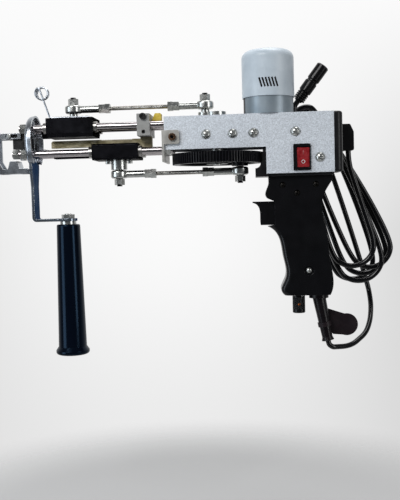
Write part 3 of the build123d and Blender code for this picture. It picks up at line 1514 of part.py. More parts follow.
cap_head_radius = 3.6
cap_head_height = 3.0
caps = [
    facing_near(
        clamp_x,
        -clamp_half_width,
        clamp_screw_z,
        socket_screw(cap_head_radius, cap_head_height, clamp_screw_radius, clamp_screw_depth),
    ),
    Pos(clamp_x, 0, cam_foot_bottom_z)
    * Rot(180, 0, 0)
    * socket_screw(
        cap_head_radius, cap_head_height, clamp_screw_radius, clamp_bottom_z - cam_foot_bottom_z + cam_screw_depth
    ),
]
save("cap_screws", *caps)

# Cords


def cord_radii(points):
    """A radius for each bend, from the shorter run beside it and the angle that it turns."""
    reach_share = 0.45
    found = []
    for before, at, after in zip(points, points[1:], points[2:]):
        half_turn = math.radians((at - before).get_angle(after - at) / 2)
        found.append(reach_share * min((at - before).length, (after - at).length) / math.tan(half_turn))
    return found


def cord(name, points):
    """A free stretch of cord: straight runs joined by arcs."""
    radii = cord_radii(points)
    path = FilletPolyline(*points, radius=radii)
    print(name, "bend radii", [round(radius, 1) for radius in radii])
    tube = swept(path, cord_radius)
    print(name, "volume against section times length", tube.volume / (math.pi * cord_radius**2 * path.length))
    save(name, tube)
    return path


# The turns of the hank, in the order that the cord takes them: middle X, middle Z and radius.
bottom_turns = [(48, -40, 25), (61, -26, 25), (73, -17, 27), (80, -12, 24), (66, -24, 27), (58, -8, 25)]
top_turns = [(6, 131, 13), (11, 134, 14), (15, 130, 12.5), (3, 135, 14.5), (9, 138, 13)]
rise_shares = (0.0, 0.45, 0.5, 0.95)
plug_x = 55.0
plug_knee_z = 85.0
plug_bottom_z = 99.0
plug_y = hank_near_y - rise_shares[1] * hank_layer_step
hank_start_y = hank_near_y + hank_layer_step * len(top_turns)


def side_run(low_turn, high_turn, side):
    """The straight side between a bottom turn and a top turn: its two ends as X and Z."""
    axis = Vector(high_turn[0] - low_turn[0], 0, high_turn[1] - low_turn[1])
    along = axis.normalized()
    across = Vector(along.Z, 0, -along.X) * side
    lean = (low_turn[2] - high_turn[2]) / axis.length
    way = across * math.sqrt(1 - lean**2) + along * lean
    low_end = Vector(low_turn[0], 0, low_turn[1]) + way * low_turn[2]
    high_end = Vector(high_turn[0], 0, high_turn[1]) + way * high_turn[2]
    return low_end, high_end


runs = []
for index, top_turn in enumerate(top_turns):
    near_y = hank_start_y - index * hank_layer_step
    places = [near_y - share * hank_layer_step for share in rise_shares]
    low_end, high_end = side_run(bottom_turns[index], top_turn, 1)
    runs.append((low_end + Vector(0, places[0], 0), high_end + Vector(0, places[1], 0)))
    low_end, high_end = side_run(bottom_turns[index + 1], top_turn, -1)
    runs.append((high_end + Vector(0, places[2], 0), low_end + Vector(0, places[3], 0)))
low_end, high_end = side_run(bottom_turns[-1], (plug_x, plug_knee_z, 0), 1)
plug_knee = high_end + Vector(0, plug_y, 0)
last_low = low_end + Vector(0, hank_near_y, 0)
hank_end_z = 58.0
last_way = (plug_knee - last_low).normalized()
hank_end = last_low + last_way * ((hank_end_z - last_low.Z) / last_way.Z)
runs.append((last_low, hank_end))
hank_edges = []
for index, (start, end) in enumerate(runs):
    hank_edges.append(Line(start, end))
    if index < len(runs) - 1:
        following = runs[index + 1]
        way_in = (end - start).normalized()
        way_out = (following[1] - following[0]).normalized()
        hank_edges += biarc(end, way_in, following[0], way_out)
hank_path = Wire(hank_edges)
cord_hank = swept(hank_path, cord_radius)
print("hank length", hank_path.length)
print("hank volume against section times length", cord_hank.volume / (math.pi * cord_radius**2 * hank_path.length))
print("hank gap to itself", least_self_gap(hank_path, cord_radius, 120, len(top_turns)))
save("cord_hank", cord_hank)

plug_tail_end = Vector(plug_x, plug_y, plug_bottom_z)
cord("plug_tail", [hank_end, plug_knee, plug_tail_end])

hank_start, first_top = runs[0]
hank_way = (first_top - hank_start).normalized()
tip_run = 5.2
last_run = 28.0
fold_knee = relief_tip + relief_way * tip_run
power_points = [
    relief_tip,
    fold_knee,
    fold_knee + Vector(4.2, 0, -3.1),
    Vector(52.4, 12, -121.9),
    Vector(71.4, 27, -109.6),
    Vector(78.2, 40, -96.4),
    Vector(82.0, 58, -80.0),
    hank_start - hank_way * last_run,
    hank_start,
]
power_path = cord("power_cord", power_points)

# The tag is a tongue behind the strain relief, on a band round its sleeve.
tag_band_start = 30.0
tag_band_length = 5.0
tag_band_wall = 1.0
tag_slack = 0.1
tag_thickness = 0.8
tag_end_radius = 12.4
tag_end_across = 24.4
tag_end_along = 39.2
tag_root_start = 17.4
tag_root_end = 47.0
tag_root_across = 7.4
relief_taper = (relief_top_radius - relief_tip_radius) / relief_length
tag_plane = Plane(
    origin=relief_base,
    x_dir=(math.cos(math.radians(relief_tilt)), 0, math.sin(math.radians(relief_tilt))),
    z_dir=relief_way,
)
band_radii = [
    relief_top_radius - relief_taper * at + tag_slack for at in (tag_band_start, tag_band_start + tag_band_length)
]
tag_outer = band_radii[0] + tag_band_wall
tag_round = Pos(tag_end_across, tag_end_along) * Circle(tag_end_radius)
tag_root = Polyline(
    (0, tag_band_start),
    (tag_root_across, tag_root_start),
    (tag_end_across, tag_end_along - tag_end_radius),
    (tag_end_across, tag_end_along + tag_end_radius),
    (tag_root_across, tag_root_end),
    (0, tag_band_start + tag_band_length),
    close=True,
)
tag_face = make_face(tag_root) + tag_round
tongue = Pos(0, -tag_outer + tag_thickness, 0) * extrude(Plane.XZ * tag_face, tag_thickness)
band = Pos(0, 0, tag_band_start + tag_band_length / 2) * Cylinder(tag_outer, tag_band_length)
tag = band + tongue
tag -= Pos(0, 0, tag_band_start + tag_band_length / 2) * Cone(*band_radii, tag_band_length)
save("cord_tag", tag_plane * tag)

plug_half_thickness = 7.0
plug_neck_half_length = 6.0
plug_top_z = 129.0
plug_front_x = 40.0
plug_rear_x = 61.0
plug_crown_x = 57.0
plug_shoulder_z = 120.0
plug_heel_z = 118.0
plug_points = [
    (plug_x - plug_neck_half_length, plug_bottom_z),
    (plug_rear_x, plug_bottom_z),
    (plug_rear_x, plug_shoulder_z),
    (plug_crown_x, plug_top_z),
    (plug_front_x, plug_top_z),
    (plug_front_x, plug_heel_z),
]
plug_pin_spread = 12.7
plug_pin_length = 17.0
plug_pin_width = 6.3
plug_pin_thickness = 1.5
plug_pin_x = 50.5
plug_pin_z = 121.0
plug = side_profile(plug_points, plug_y - plug_half_thickness + overrun, plug_y + plug_half_thickness + overrun)
plug = fillet(plug.edges().filter_by(Axis.Y), 2 * overrun)
plug_back_y = plug_y + plug_half_thickness + overrun
pin = Pos(plug_pin_x, plug_back_y + plug_pin_length / 2, plug_pin_z) * Box(
    plug_pin_thickness, plug_pin_length, plug_pin_width
)
pins = [Pos(side * plug_pin_spread / 2, 0, 0) * pin for side in (-1, 1)]
save("mains_plug", plug, *pins)

connector_lean = 37.5
lead_run = 7.5
connector_way = Vector(math.sin(math.radians(connector_lean)), 0, math.cos(math.radians(connector_lean)))
lead_start = Vector(lead_x, lead_y, housing_top_z + gland_height)
lead_knee = lead_start + Vector(0, 0, lead_run)
lead_end = lead_knee + connector_way * lead_run
cord("connector_lead", [lead_start, lead_knee, lead_end])

boot_length = 12.0
boot_tip_radius = 4.4
boot_radius = 6.0
boot_ribs = 4
rib_length = 1.4
rib_proud = 0.7
connector_radius = 7.2
connector_length = 14.0
neck_radius = 6.2
neck_length = 1.6
collar_radius = 7.2
collar_length = 20.0
collar_bore = 5.8
collar_room = 14.0
contact_radius = 0.8
contact_ring = 2.6
contact_count = 3
connector = Pos(0, 0, boot_length / 2) * Cone(boot_tip_radius, boot_radius, boot_length)
for step in range(boot_ribs):
    at = (step + 1) * boot_length / (boot_ribs + 1)
    connector += rod_z(0, 0, at - rib_length / 2, at + rib_length / 2, boot_radius + rib_proud)
body_top = boot_length + connector_length
connector += chamfer(rod_z(0, 0, boot_length, body_top, connector_radius).edges(), overrun)
collar_bottom = body_top + neck_length
collar_top = collar_bottom + collar_length
connector += rod_z(0, 0, body_top, collar_bottom, neck_radius)
connector += chamfer(rod_z(0, 0, collar_bottom, collar_top, collar_radius).edges(), overrun)
connector -= rod_z(0, 0, collar_top - collar_room, collar_top, collar_bore)
for step in range(contact_count):
    turn = 2 * math.pi * step / contact_count
    connector += rod_z(
        contact_ring * math.cos(turn),
        contact_ring * math.sin(turn),
        collar_top - collar_room - overrun,
        collar_top - 2 * overrun,
        contact_radius,
    )
save("round_connector", Plane(origin=lead_end, z_dir=connector_way) * connector)
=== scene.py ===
"""Looks of a hand-held tufting gun: its finishes, cords, small marks and a plain studio."""

import math

import bmesh
import bpy
from mathutils import Matrix, Vector
from mathutils.bvhtree import BVHTree


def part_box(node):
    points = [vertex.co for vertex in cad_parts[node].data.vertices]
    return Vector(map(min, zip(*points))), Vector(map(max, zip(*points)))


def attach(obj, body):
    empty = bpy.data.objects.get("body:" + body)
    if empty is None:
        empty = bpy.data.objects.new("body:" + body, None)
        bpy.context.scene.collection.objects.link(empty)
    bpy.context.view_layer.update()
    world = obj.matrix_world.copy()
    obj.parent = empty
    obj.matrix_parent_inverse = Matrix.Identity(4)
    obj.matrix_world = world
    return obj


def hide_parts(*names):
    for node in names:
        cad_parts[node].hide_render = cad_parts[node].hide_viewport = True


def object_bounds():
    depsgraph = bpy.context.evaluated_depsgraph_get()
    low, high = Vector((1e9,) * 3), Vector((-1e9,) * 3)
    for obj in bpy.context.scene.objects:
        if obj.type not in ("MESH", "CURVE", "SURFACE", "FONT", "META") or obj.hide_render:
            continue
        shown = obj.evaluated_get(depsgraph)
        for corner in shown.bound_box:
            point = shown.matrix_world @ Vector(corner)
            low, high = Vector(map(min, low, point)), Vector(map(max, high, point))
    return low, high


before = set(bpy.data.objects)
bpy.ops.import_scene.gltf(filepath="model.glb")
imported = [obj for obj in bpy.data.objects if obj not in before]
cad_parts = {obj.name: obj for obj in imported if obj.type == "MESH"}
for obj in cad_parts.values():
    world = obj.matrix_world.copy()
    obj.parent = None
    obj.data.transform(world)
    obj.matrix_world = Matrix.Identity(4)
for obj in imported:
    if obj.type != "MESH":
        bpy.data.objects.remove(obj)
load_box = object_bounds()

bl_info = {
    "name": "Tufting Gun",
    "version": (1, 0, 0),
    "blender": (4, 5, 0),
    "location": "3D View > Sidebar > Tufting Gun",
    "description": "Finishes, cords, marks and studio of a hand-held tufting gun",
    "category": "Object",
}

MM = 0.001


# Finishes

# How much larger the smudges in the gloss are than the patches of tone.
SMUDGE_SIZE = 1.7
# The turn of the rounded surface, as a cosine, from where an edge takes the edge tone of wear and painted
# highlight to where it doesn't.
EDGE_TURN = (0.8, 0.99)
THREAD_DEPTH_SHARE = 0.35


def add_node(tree, kind, **values):
    """A new node with its own settings and the values of its inputs."""
    node = tree.nodes.new(kind)
    for name, value in values.items():
        if hasattr(node, name):
            setattr(node, name, value)
        else:
            node.inputs[name.replace("_", " ")].default_value = value
    return node


def grain_of(tree, place, size, detail=3.0):
    """Soft noise whose lumps are about the given size in metres."""
    noise = add_node(tree, "ShaderNodeTexNoise", Scale=1 / size, Detail=detail)
    tree.links.new(place, noise.inputs["Vector"])
    return noise.outputs["Fac"]


def spread(tree, value, low, high, start=0.35, end=0.65):
    """Maps noise to the range between two values."""
    ranger = add_node(tree, "ShaderNodeMapRange", From_Min=start, From_Max=end, To_Min=low, To_Max=high)
    tree.links.new(value, ranger.inputs["Value"])
    return ranger.outputs["Result"]


def blend_tones(tree, share, first, second):
    """Mixes two colours, each a plain colour or the output of another node."""
    mix = add_node(tree, "ShaderNodeMix", data_type="RGBA")
    tree.links.new(share, mix.inputs["Factor"])
    for socket, tone in (("A", first), ("B", second)):
        target = next(s for s in mix.inputs if s.name == socket and s.type == "RGBA")
        if isinstance(tone, bpy.types.NodeSocket):
            tree.links.new(tone, target)
        else:
            target.default_value = (*tone, 1)
    return next(s for s in mix.outputs if s.type == "RGBA")


def inside_spot(tree, place, across, height, radius):
    """One inside a round spot seen from the side, and nothing outside it."""
    level = add_node(tree, "ShaderNodeVectorMath", operation="MULTIPLY")
    tree.links.new(place, level.inputs[0])
    level.inputs[1].default_value = (1, 0, 1)
    away = add_node(tree, "ShaderNodeVectorMath", operation="DISTANCE")
    tree.links.new(level.outputs["Vector"], away.inputs[0])
    away.inputs[1].default_value = (across, 0, height)
    inside = add_node(tree, "ShaderNodeMath", operation="LESS_THAN")
    tree.links.new(away.outputs["Value"], inside.inputs[0])
    inside.inputs[1].default_value = radius
    return inside.outputs["Value"]


def make_finish(
    name,
    dark,
    light,
    rough,
    metallic=0.0,
    patch=0.012,
    grain=0.0006,
    relief=0.00001,
    stretch=(1, 1, 1),
    edge=0.0003,
    edge_wear_and_sheen=None,
    sparkle=0.0,
    thread=0.0,
    plain=(),
    spots=(),
):
    """A surface with patches of two tones, smudged gloss, fine relief, rounded edges with an edge tone that
    is wear on some finishes and painted highlight on others, and spots of the parts' own colour and of
    painted shade.

    With no edge it stays smooth: a round sheath with patches and smudges alone.
    """
    finish = bpy.data.materials.new(name)
    finish.use_nodes = True
    tree = finish.node_tree
    shader = tree.nodes["Principled BSDF"]
    shader.inputs["Metallic"].default_value = metallic
    for socket, value in plain:
        shader.inputs[socket].default_value = value
    place = add_node(tree, "ShaderNodeTexCoord").outputs["Object"]
    drawn = add_node(tree, "ShaderNodeMapping", Scale=stretch)
    tree.links.new(place, drawn.inputs["Vector"])
    drawn = drawn.outputs["Vector"]
    patches = grain_of(tree, drawn, patch, 5.0)
    fine = grain_of(tree, drawn, grain, 2.0)
    tone = blend_tones(tree, spread(tree, patches, 0.0, 1.0), dark, light)
    if sparkle:
        cells = add_node(tree, "ShaderNodeTexVoronoi", Scale=1 / grain)
        tree.links.new(place, cells.inputs["Vector"])
        flakes = add_node(tree, "ShaderNodeSeparateColor")
        tree.links.new(cells.outputs["Color"], flakes.inputs["Color"])
        bright = tuple(min(1.0, part * (1 + sparkle)) for part in light)
        dull = tuple(part * (1 - sparkle) for part in dark)
        flecks = blend_tones(tree, flakes.outputs["Red"], dull, bright)
        tone = blend_tones(tree, spread(tree, fine, 0.25, 0.75), tone, flecks)
    smudge = spread(tree, grain_of(tree, place, patch * SMUDGE_SIZE, 3.0), *rough)
    tree.links.new(smudge, shader.inputs["Roughness"])
    if not edge:
        tree.links.new(tone, shader.inputs["Base Color"])
        return finish
    rounded = add_node(tree, "ShaderNodeBevel", samples=4, Radius=edge)
    # The edge tone is real wear on some finishes and painted highlight on others, such as the slider blocks'
    # grey edges.
    if edge_wear_and_sheen:
        face = add_node(tree, "ShaderNodeNewGeometry")
        turned = add_node(tree, "ShaderNodeVectorMath", operation="DOT_PRODUCT")
        tree.links.new(rounded.outputs["Normal"], turned.inputs[0])
        tree.links.new(face.outputs["Normal"], turned.inputs[1])
        at_edge = spread(tree, turned.outputs["Value"], 1.0, 0.0, *EDGE_TURN)
        rubbed_and_lit = add_node(tree, "ShaderNodeMath", operation="MULTIPLY")
        tree.links.new(at_edge, rubbed_and_lit.inputs[0])
        tree.links.new(spread(tree, patches, 0.1, 0.8), rubbed_and_lit.inputs[1])
        tone = blend_tones(tree, rubbed_and_lit.outputs["Value"], tone, edge_wear_and_sheen)
    for across, height, radius, spot_tone_and_shade in spots:
        tone = blend_tones(tree, inside_spot(tree, place, across, height, radius), tone, spot_tone_and_shade)
    tree.links.new(tone, shader.inputs["Base Color"])
    surface = add_node(tree, "ShaderNodeBump", Distance=relief, Strength=1.0)
    tree.links.new(fine, surface.inputs["Height"])
    tree.links.new(rounded.outputs["Normal"], surface.inputs["Normal"])
    if thread:
        # A wave texture repeats every pi / 10 of a metre at scale 1.
        ridges = add_node(
            tree,
            "ShaderNodeTexWave",
            bands_direction="X",
            Scale=math.pi / (10 * thread),
            Distortion=0.0,
        )
        tree.links.new(place, ridges.inputs["Vector"])
        turns = add_node(tree, "ShaderNodeBump", Distance=thread * THREAD_DEPTH_SHARE, Strength=1.0)
        tree.links.new(ridges.outputs["Fac"], turns.inputs["Height"])
        tree.links.new(surface.outputs["Normal"], turns.inputs["Normal"])
        surface = turns
    tree.links.new(surface.outputs["Normal"], shader.inputs["Normal"])
    return finish


def dress(finish, *nodes):
    """Gives a finish to CAD nodes."""
    for name in nodes:
        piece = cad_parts[name]
        if not piece.material_slots:
            piece.data.materials.append(finish)
        for slot in piece.material_slots:
            slot.material = finish


DULL_SHEEN = (("Specular IOR Level", 0.25),)
DARK_EDGE = (("Specular Tint", (0.0, 0.0, 0.0, 1.0)),)
BLUE_SHEEN = (("Specular IOR Level", 0.22), ("Specular Tint", (0.3, 0.6, 1.0, 1.0)))
# Spots seen from the side, of the parts' own colour and of painted shade: middle X, middle Z, radius and
# tone.
# Turns the screws in the grip's neck near-black.
NECK_DARK_SPOT = (-0.004, 0.058, 0.024, (0.010, 0.009, 0.008))
# The bronze spot is the bracket screw's own colour; the near-black middle is painted shade in its drive
# recess.
TAB_SCREW_TONE_AND_SHADE = (
    (-0.14, 0.1165, 0.0046, (0.17, 0.10, 0.06)),
    (-0.14, 0.1165, 0.0019, (0.012, 0.010, 0.009)),
)
DARK_TIP = (0.008, 0.008, 0.009)
STUD_TIPS = (
    (-0.253, 0.1672, 0.0037, DARK_TIP),
    (-0.105, 0.1672, 0.0037, DARK_TIP),
    (-0.2035, 0.0640, 0.0037, DARK_TIP),
    (-0.068, 0.0640, 0.0037, DARK_TIP),
)


# New pieces

# How far before a surface a mark's rays start, and how far a mark stands out of it and reaches into it.
MARK_START = 0.01
MARK_LIFT = 0.08 * MM
DOT_LIFT = 0.12 * MM
DOT_CORNERS = 24
RING_CORNERS = 32
# Where the marks lie, as shares of the height of their piece.
DOT_LEVEL = 0.34
OFF_LEVEL = 0.27
ON_LEVEL = 0.73
OFF_RADIUS_SHARE = 0.47

# The dark strip of painted shade down the motor can's side: its direction and width, its depth and height,
# and its facets.
STRIP_WAY = math.pi + math.radians(16)
STRIP_WIDTH = math.radians(11)
STRIP_STEPS = 6
STRIP_DEPTHS = (-0.2 * MM, 0.35 * MM)
STRIP_FOOT_GAP = 0.2 * MM
STRIP_HEAD_GAP = 0.1 * MM


def link_piece(piece, body, finish):
    """Puts a new piece in the scene, on its body and with its finish."""
    bpy.context.scene.collection.objects.link(piece)
    piece.data.materials.append(finish)
    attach(piece, body)
    return piece


def mesh_piece(name, shape, body, finish, smooth=True):
    """Turns a finished bmesh into a piece."""
    mesh = bpy.data.meshes.new(name)
    bmesh.ops.recalc_face_normals(shape, faces=shape.faces)
    shape.to_mesh(mesh)
    shape.free()
    mesh.shade_smooth() if smooth else mesh.shade_flat()
    return link_piece(bpy.data.objects.new(name, mesh), body, finish)


def surface_of(node):
    """The surface of a CAD node, to lay small marks on."""
    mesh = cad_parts[node].data
    places = [vertex.co.copy() for vertex in mesh.vertices]
    return BVHTree.FromPolygons(places, [tuple(face.vertices) for face in mesh.polygons])


def laid_mark(shape, outline, surface, way, start, lift):
    """Adds a thin raised mark: two closed rows of places, or one, cast on to a surface."""
    rows = []
    for row in outline:
        low, high = [], []
        for place in row:
            hit = surface.ray_cast(place - way * start, way)[0]
            if hit is None:
                raise RuntimeError("a mark misses its surface")
            low.append(shape.verts.new(hit + way * lift))
            high.append(shape.verts.new(hit - way * lift))
        rows.append((low, high))
    for low, high in rows:
        count = len(low)
        for index in range(count):
            after = (index + 1) % count
            shape.faces.new((low[index], low[after], high[after], high[index]))
    if len(rows) == 1:
        shape.faces.new(rows[0][1])
        shape.faces.new(reversed(rows[0][0]))
        return
    for layer in (0, 1):
        outer, inner = rows[0][layer], rows[1][layer]
        count = len(outer)
        for index in range(count):
            after = (index + 1) % count
            shape.faces.new((outer[index], outer[after], inner[after], inner[index]))


def ring_of(middle, across, up, radius, count):
    """Places round a circle."""
    return [
        middle
        + across * radius * math.cos(2 * math.pi * step / count)
        + up * radius * math.sin(2 * math.pi * step / count)
        for step in range(count)
    ]


# Cords


def cord_curve(name, places, diameter):
    """A cord whose smooth line has the given places as its control points."""
    curve = bpy.data.curves.new(name, "CURVE")
    curve.dimensions = "3D"
    curve.bevel_depth = diameter / 2
    curve.bevel_resolution = 5
    curve.resolution_u = 10
    curve.use_fill_caps = True
    spline = curve.splines.new("NURBS")
    spline.points.add(len(places) - 1)
    for point, place in zip(spline.points, places):
        point.co = (*place, 1.0)
    spline.order_u = 3
    spline.use_endpoint_u = True
    return bpy.data.objects.new(name, curve)


# The corners of the free part of the cord, from the strain relief to the hank, in metres.
POWER_ROUTE = [
    (0.02558, 0, -0.11238),
    (0.02654, 0, -0.11749),
    (0.03074, 0, -0.12059),
    (0.0524, 0.012, -0.1219),
    (0.0714, 0.027, -0.1096),
    (0.0782, 0.040, -0.0964),
    (0.0820, 0.058, -0.0800),
    (0.08033, 0.0715, -0.05907),
]
# The corners of the connector's lead, which ends inside the connector.
LEAD_ROUTE = [(-0.0062, 0.0175, 0.142), (-0.0062, 0.0175, 0.1495), (0.01151, 0.0175, 0.17259)]
CORNER_SHARE = 0.45

# The hank's turns in the order that the cord takes them: middle X, middle Z and radius.
BOTTOM_TURNS = [
    (0.048, -0.040, 0.025),
    (0.061, -0.026, 0.025),
    (0.073, -0.017, 0.027),
    (0.080, -0.012, 0.024),
    (0.066, -0.024, 0.027),
    (0.058, -0.008, 0.025),
]
TOP_TURNS = [
    (0.006, 0.131, 0.013),
    (0.011, 0.134, 0.014),
    (0.015, 0.130, 0.0125),
    (0.003, 0.135, 0.0145),
    (0.009, 0.138, 0.013),
]
BOTTOM_POINTS = 5
TOP_POINTS = 4
SIDE_SHARES = (0.3, 0.7)
RISE_SHARES = (0.0, 0.45, 0.5, 0.95)
# How far each side of each turn bows away from the middle of the hank, in metres.
RIGHT_BOWS = (0.002, 0.004, 0.003, 0.005, 0.003, 0.0)
LEFT_BOWS = (0.002, 0.001, 0.003, 0.002, 0.001)
# Where the cord leaves the hank and rises into the plug, as a turn without a radius.
TAIL_KNEE = (0.055, 0.085, 0)


def eased(corners):
    """Control points that carry a cord round each corner in an even bend."""
    places = [corners[0]]
    for before, at, after in zip(corners, corners[1:], corners[2:]):
        way_in, way_out = at - before, after - at
        reach = CORNER_SHARE * min(way_in.length, way_out.length)
        turn = way_in.angle(way_out)
        half_step = reach / math.tan(turn / 2) * math.tan(turn / 4)
        near, far = reach - half_step, reach + half_step
        if far < way_in.length / 2:
            places.append(at - way_in.normalized() * far)
        places.append(at - way_in.normalized() * near)
        places.append(at + way_out.normalized() * near)
        if far < way_out.length / 2:
            places.append(at + way_out.normalized() * far)
    return places + [corners[-1]]


def side_ends(low_turn, high_turn, side):
    """Where a turn's straight side leaves its bottom and reaches its top, and the way out of the turn."""
    axis = Vector((high_turn[0] - low_turn[0], 0, high_turn[1] - low_turn[1]))
    along = axis.normalized()
    across = Vector((along.z, 0, -along.x)) * side
    lean = (low_turn[2] - high_turn[2]) / axis.length
    way = across * math.sqrt(1 - lean**2) + along * lean
    low = Vector((low_turn[0], 0, low_turn[1])) + way * low_turn[2]
    high = Vector((high_turn[0], 0, high_turn[1])) + way * high_turn[2]
    return low, high, way


def round_turn(turn, way_in, way_out, count, start_y, end_y):
    """The control points that carry the cord round one end of the hank."""
    first = math.atan2(way_in.z, way_in.x)
    sweep = (math.atan2(way_out.z, way_out.x) - first) % (2 * math.pi)
    reach = turn[2] / math.cos(sweep / (2 * count))
    places = []
    for step in range(count):
        share = (step + 0.5) / count
        angle = first + sweep * share
        across = turn[0] + reach * math.cos(angle)
        height = turn[1] + reach * math.sin(angle)
        places.append(Vector((across, start_y + (end_y - start_y) * share, height)))
    return places


def side_points(start, end, start_y, end_y, way, bow):
    """The control points along one side of a turn, bowed outwards a little."""
    places = []
    for share in SIDE_SHARES:
        place = start.lerp(end, share) + way * bow
        place.y = start_y + (end_y - start_y) * share
        places.append(place)
    return places


def mains_route(step_y, near_y, tail_end_z):
    """All control points of the mains cord, from the grip to its plug."""
    places = eased([Vector(place) for place in POWER_ROUTE])
    start_y = near_y + step_y * len(TOP_TURNS)
    for index, top in enumerate(TOP_TURNS):
        low_turn, next_turn = BOTTOM_TURNS[index], BOTTOM_TURNS[index + 1]
        level = [start_y - (index + share) * step_y for share in RISE_SHARES]
        low, high, way_up = side_ends(low_turn, top, 1)
        places += side_points(low, high, level[0], level[1], way_up, RIGHT_BOWS[index])
        left_low, left_high, way_down = side_ends(next_turn, top, -1)
        places += round_turn(top, way_up, way_down, TOP_POINTS, level[1], level[2])
        places += side_points(left_high, left_low, level[2], level[3], way_down, LEFT_BOWS[index])
        following = TOP_TURNS[index + 1] if index + 1 < len(TOP_TURNS) else TAIL_KNEE
        next_way = side_ends(next_turn, following, 1)[2]
        end_y = start_y - (index + 1) * step_y
        places += round_turn(next_turn, way_down, next_way, BOTTOM_POINTS, level[3], end_y)
    low, knee, way = side_ends(BOTTOM_TURNS[-1], TAIL_KNEE, 1)
    tail_y = near_y - RISE_SHARES[1] * step_y
    places += side_points(low, knee, near_y, tail_y, way, RIGHT_BOWS[-1])
    tail_x, knee_z, _ = TAIL_KNEE
    places.append(Vector((tail_x, tail_y, knee_z)))
    places.append(Vector((tail_x, tail_y, tail_end_z)))
    return places


# Settings


def tone_setting(name, description, default):
    """A colour that the panel shows."""
    return bpy.props.FloatVectorProperty(
        name=name, description=description, subtype="COLOR", default=default, min=0, max=1
    )


def length_setting(name, description, default, **limits):
    """A length in metres that the panel shows."""
    return bpy.props.FloatProperty(
        name=name, description=description, default=default, unit="LENGTH", **limits
    )


def angle_setting(name, description, degrees):
    """An angle that the panel shows."""
    return bpy.props.FloatProperty(
        name=name, description=description, default=math.radians(degrees), subtype="ANGLE"
    )


class FinishSettings(bpy.types.PropertyGroup):
    plate_tone: tone_setting("Side Plates", "Colour of the aluminium side plates", (0.60, 0.64, 0.69))
    zinc_tone: tone_setting("Zinc Sheet", "Colour of the ring and the foot", (0.42, 0.45, 0.49))
    steel_tone: tone_setting("Steel", "Colour of screws, nuts and ball ends", (0.50, 0.51, 0.49))
    black_tone: tone_setting(
        "Black Plastic", "Colour of the grip, the rear cover and the inner bracket", (0.004, 0.004, 0.005)
    )
    cap_tone: tone_setting("Motor Cap", "Colour of the motor cap", (0.47, 0.54, 0.60))
    can_tone: tone_setting("Motor Can", "Colour of the motor can", (0.22, 0.27, 0.31))
    rocker_tone: tone_setting("Rocker", "Colour of the switch rocker", (0.30, 0.004, 0.008))
    pad_tone: tone_setting("Bump Pad", "Colour of the bump pad", (0.72, 0.52, 0.03))
    bar_tone: tone_setting("Cam Bar", "Colour of the brass cam bar", (0.33, 0.28, 0.15))


class MarkSettings(bpy.types.PropertyGroup):
    height: length_setting("Mark Height", "Height of the marks on the rocker", 4.3 * MM, min=0.001, max=0.005)
    stroke: length_setting("Stroke", "Width of the lines of the marks", 0.65 * MM, min=0.0002, max=0.001)
    dot_radius: length_setting(
        "Dot Radius", "Radius of the dot on the speed knob", 1.1 * MM, min=0.0004, max=0.002
    )


class CordSettings(bpy.types.PropertyGroup):
    diameter: length_setting("Cord Diameter", "Diameter of both cords", 6 * MM, min=0.004, max=0.0065)
    length: length_setting("Cord Length", "Real length of the mains cord", 2.527, min=2.4, max=2.6)
    layer: length_setting(
        "Hank Step", "Depth from one turn of the hank to the next", 7.2 * MM, min=0.0065, max=0.008
    )
    near_y: length_setting("Hank Start", "Where the nearest turn of the hank lies behind the tool", 35 * MM)


class StudioSettings(bpy.types.PropertyGroup):
    lens: bpy.props.FloatProperty(
        name="Lens", description="Focal length of the camera in millimetres", default=57.6, min=20, max=200
    )
    distance: length_setting("Distance", "How far the camera stands from the grip", 0.89, min=0.3, max=5)
    azimuth: angle_setting("Azimuth", "How far the camera stands round to the rear", 4.0)
    elevation: angle_setting("Elevation", "How far the camera looks down", 3.5)
    roll: angle_setting("Roll", "How far the camera is rolled", 1.6)
    grip_right: length_setting(
        "Grip Right", "How far the grip stands right of the middle of the view", 0.1146
    )
    grip_up: length_setting("Grip Up", "How far the grip stands above the middle of the view", 0.0111)
    floor_z: length_setting("Floor", "Height of the floor under the tool", -0.34)
    floor_tone: tone_setting("Floor Colour", "Colour of the floor", (0.46, 0.46, 0.46))


def darker(tone, share):
    """A tone with only this share of its brightness."""
    return tuple(part * share for part in tone)


def lighter(tone, share):
    """A tone brought this share of the way to white."""
    return tuple(min(1.0, part + (1 - part) * share) for part in tone)


# Pieces


class TUFTING_OT_housing(bpy.types.Operator):
    """Finish the side plates, the blocks between them and the rear cover"""

    bl_idname = "tufting.housing"
    bl_label = "Finish Housing"

    def execute(self, context):
        tone = tuple(context.scene.tufting_finishes.plate_tone)
        plate = make_finish(
            "sparkle_aluminium", darker(tone, 0.95), lighter(tone, 0.05), (0.45, 0.58), 0.2,
            patch=0.03, grain=0.0008, relief=0.00003, edge=0.0004, edge_wear_and_sheen=lighter(tone, 0.35), sparkle=0.4,
        )
        dress(plate, "near_side_plate", "far_side_plate")
        cast = make_finish(
            "cast_aluminium", (0.26, 0.26, 0.25), (0.31, 0.31, 0.30), (0.38, 0.5), 0.5,
            patch=0.008, relief=0.00003, edge_wear_and_sheen=(0.6, 0.6, 0.6),
        )
        dress(cast, "gear_block", "motor_mount", "clamp_block")
        black = tuple(context.scene.tufting_finishes.black_tone)
        paint = make_finish(
            "black_powder_paint", darker(black, 1.2), lighter(black, 0.004), (0.3, 0.4),
            patch=0.01, grain=0.0005, relief=0.00004, edge=0.0005, edge_wear_and_sheen=(0.03, 0.03, 0.035), plain=DULL_SHEEN,
        )
        dress(paint, "rear_cover", "inner_bracket")
        return {"FINISHED"}


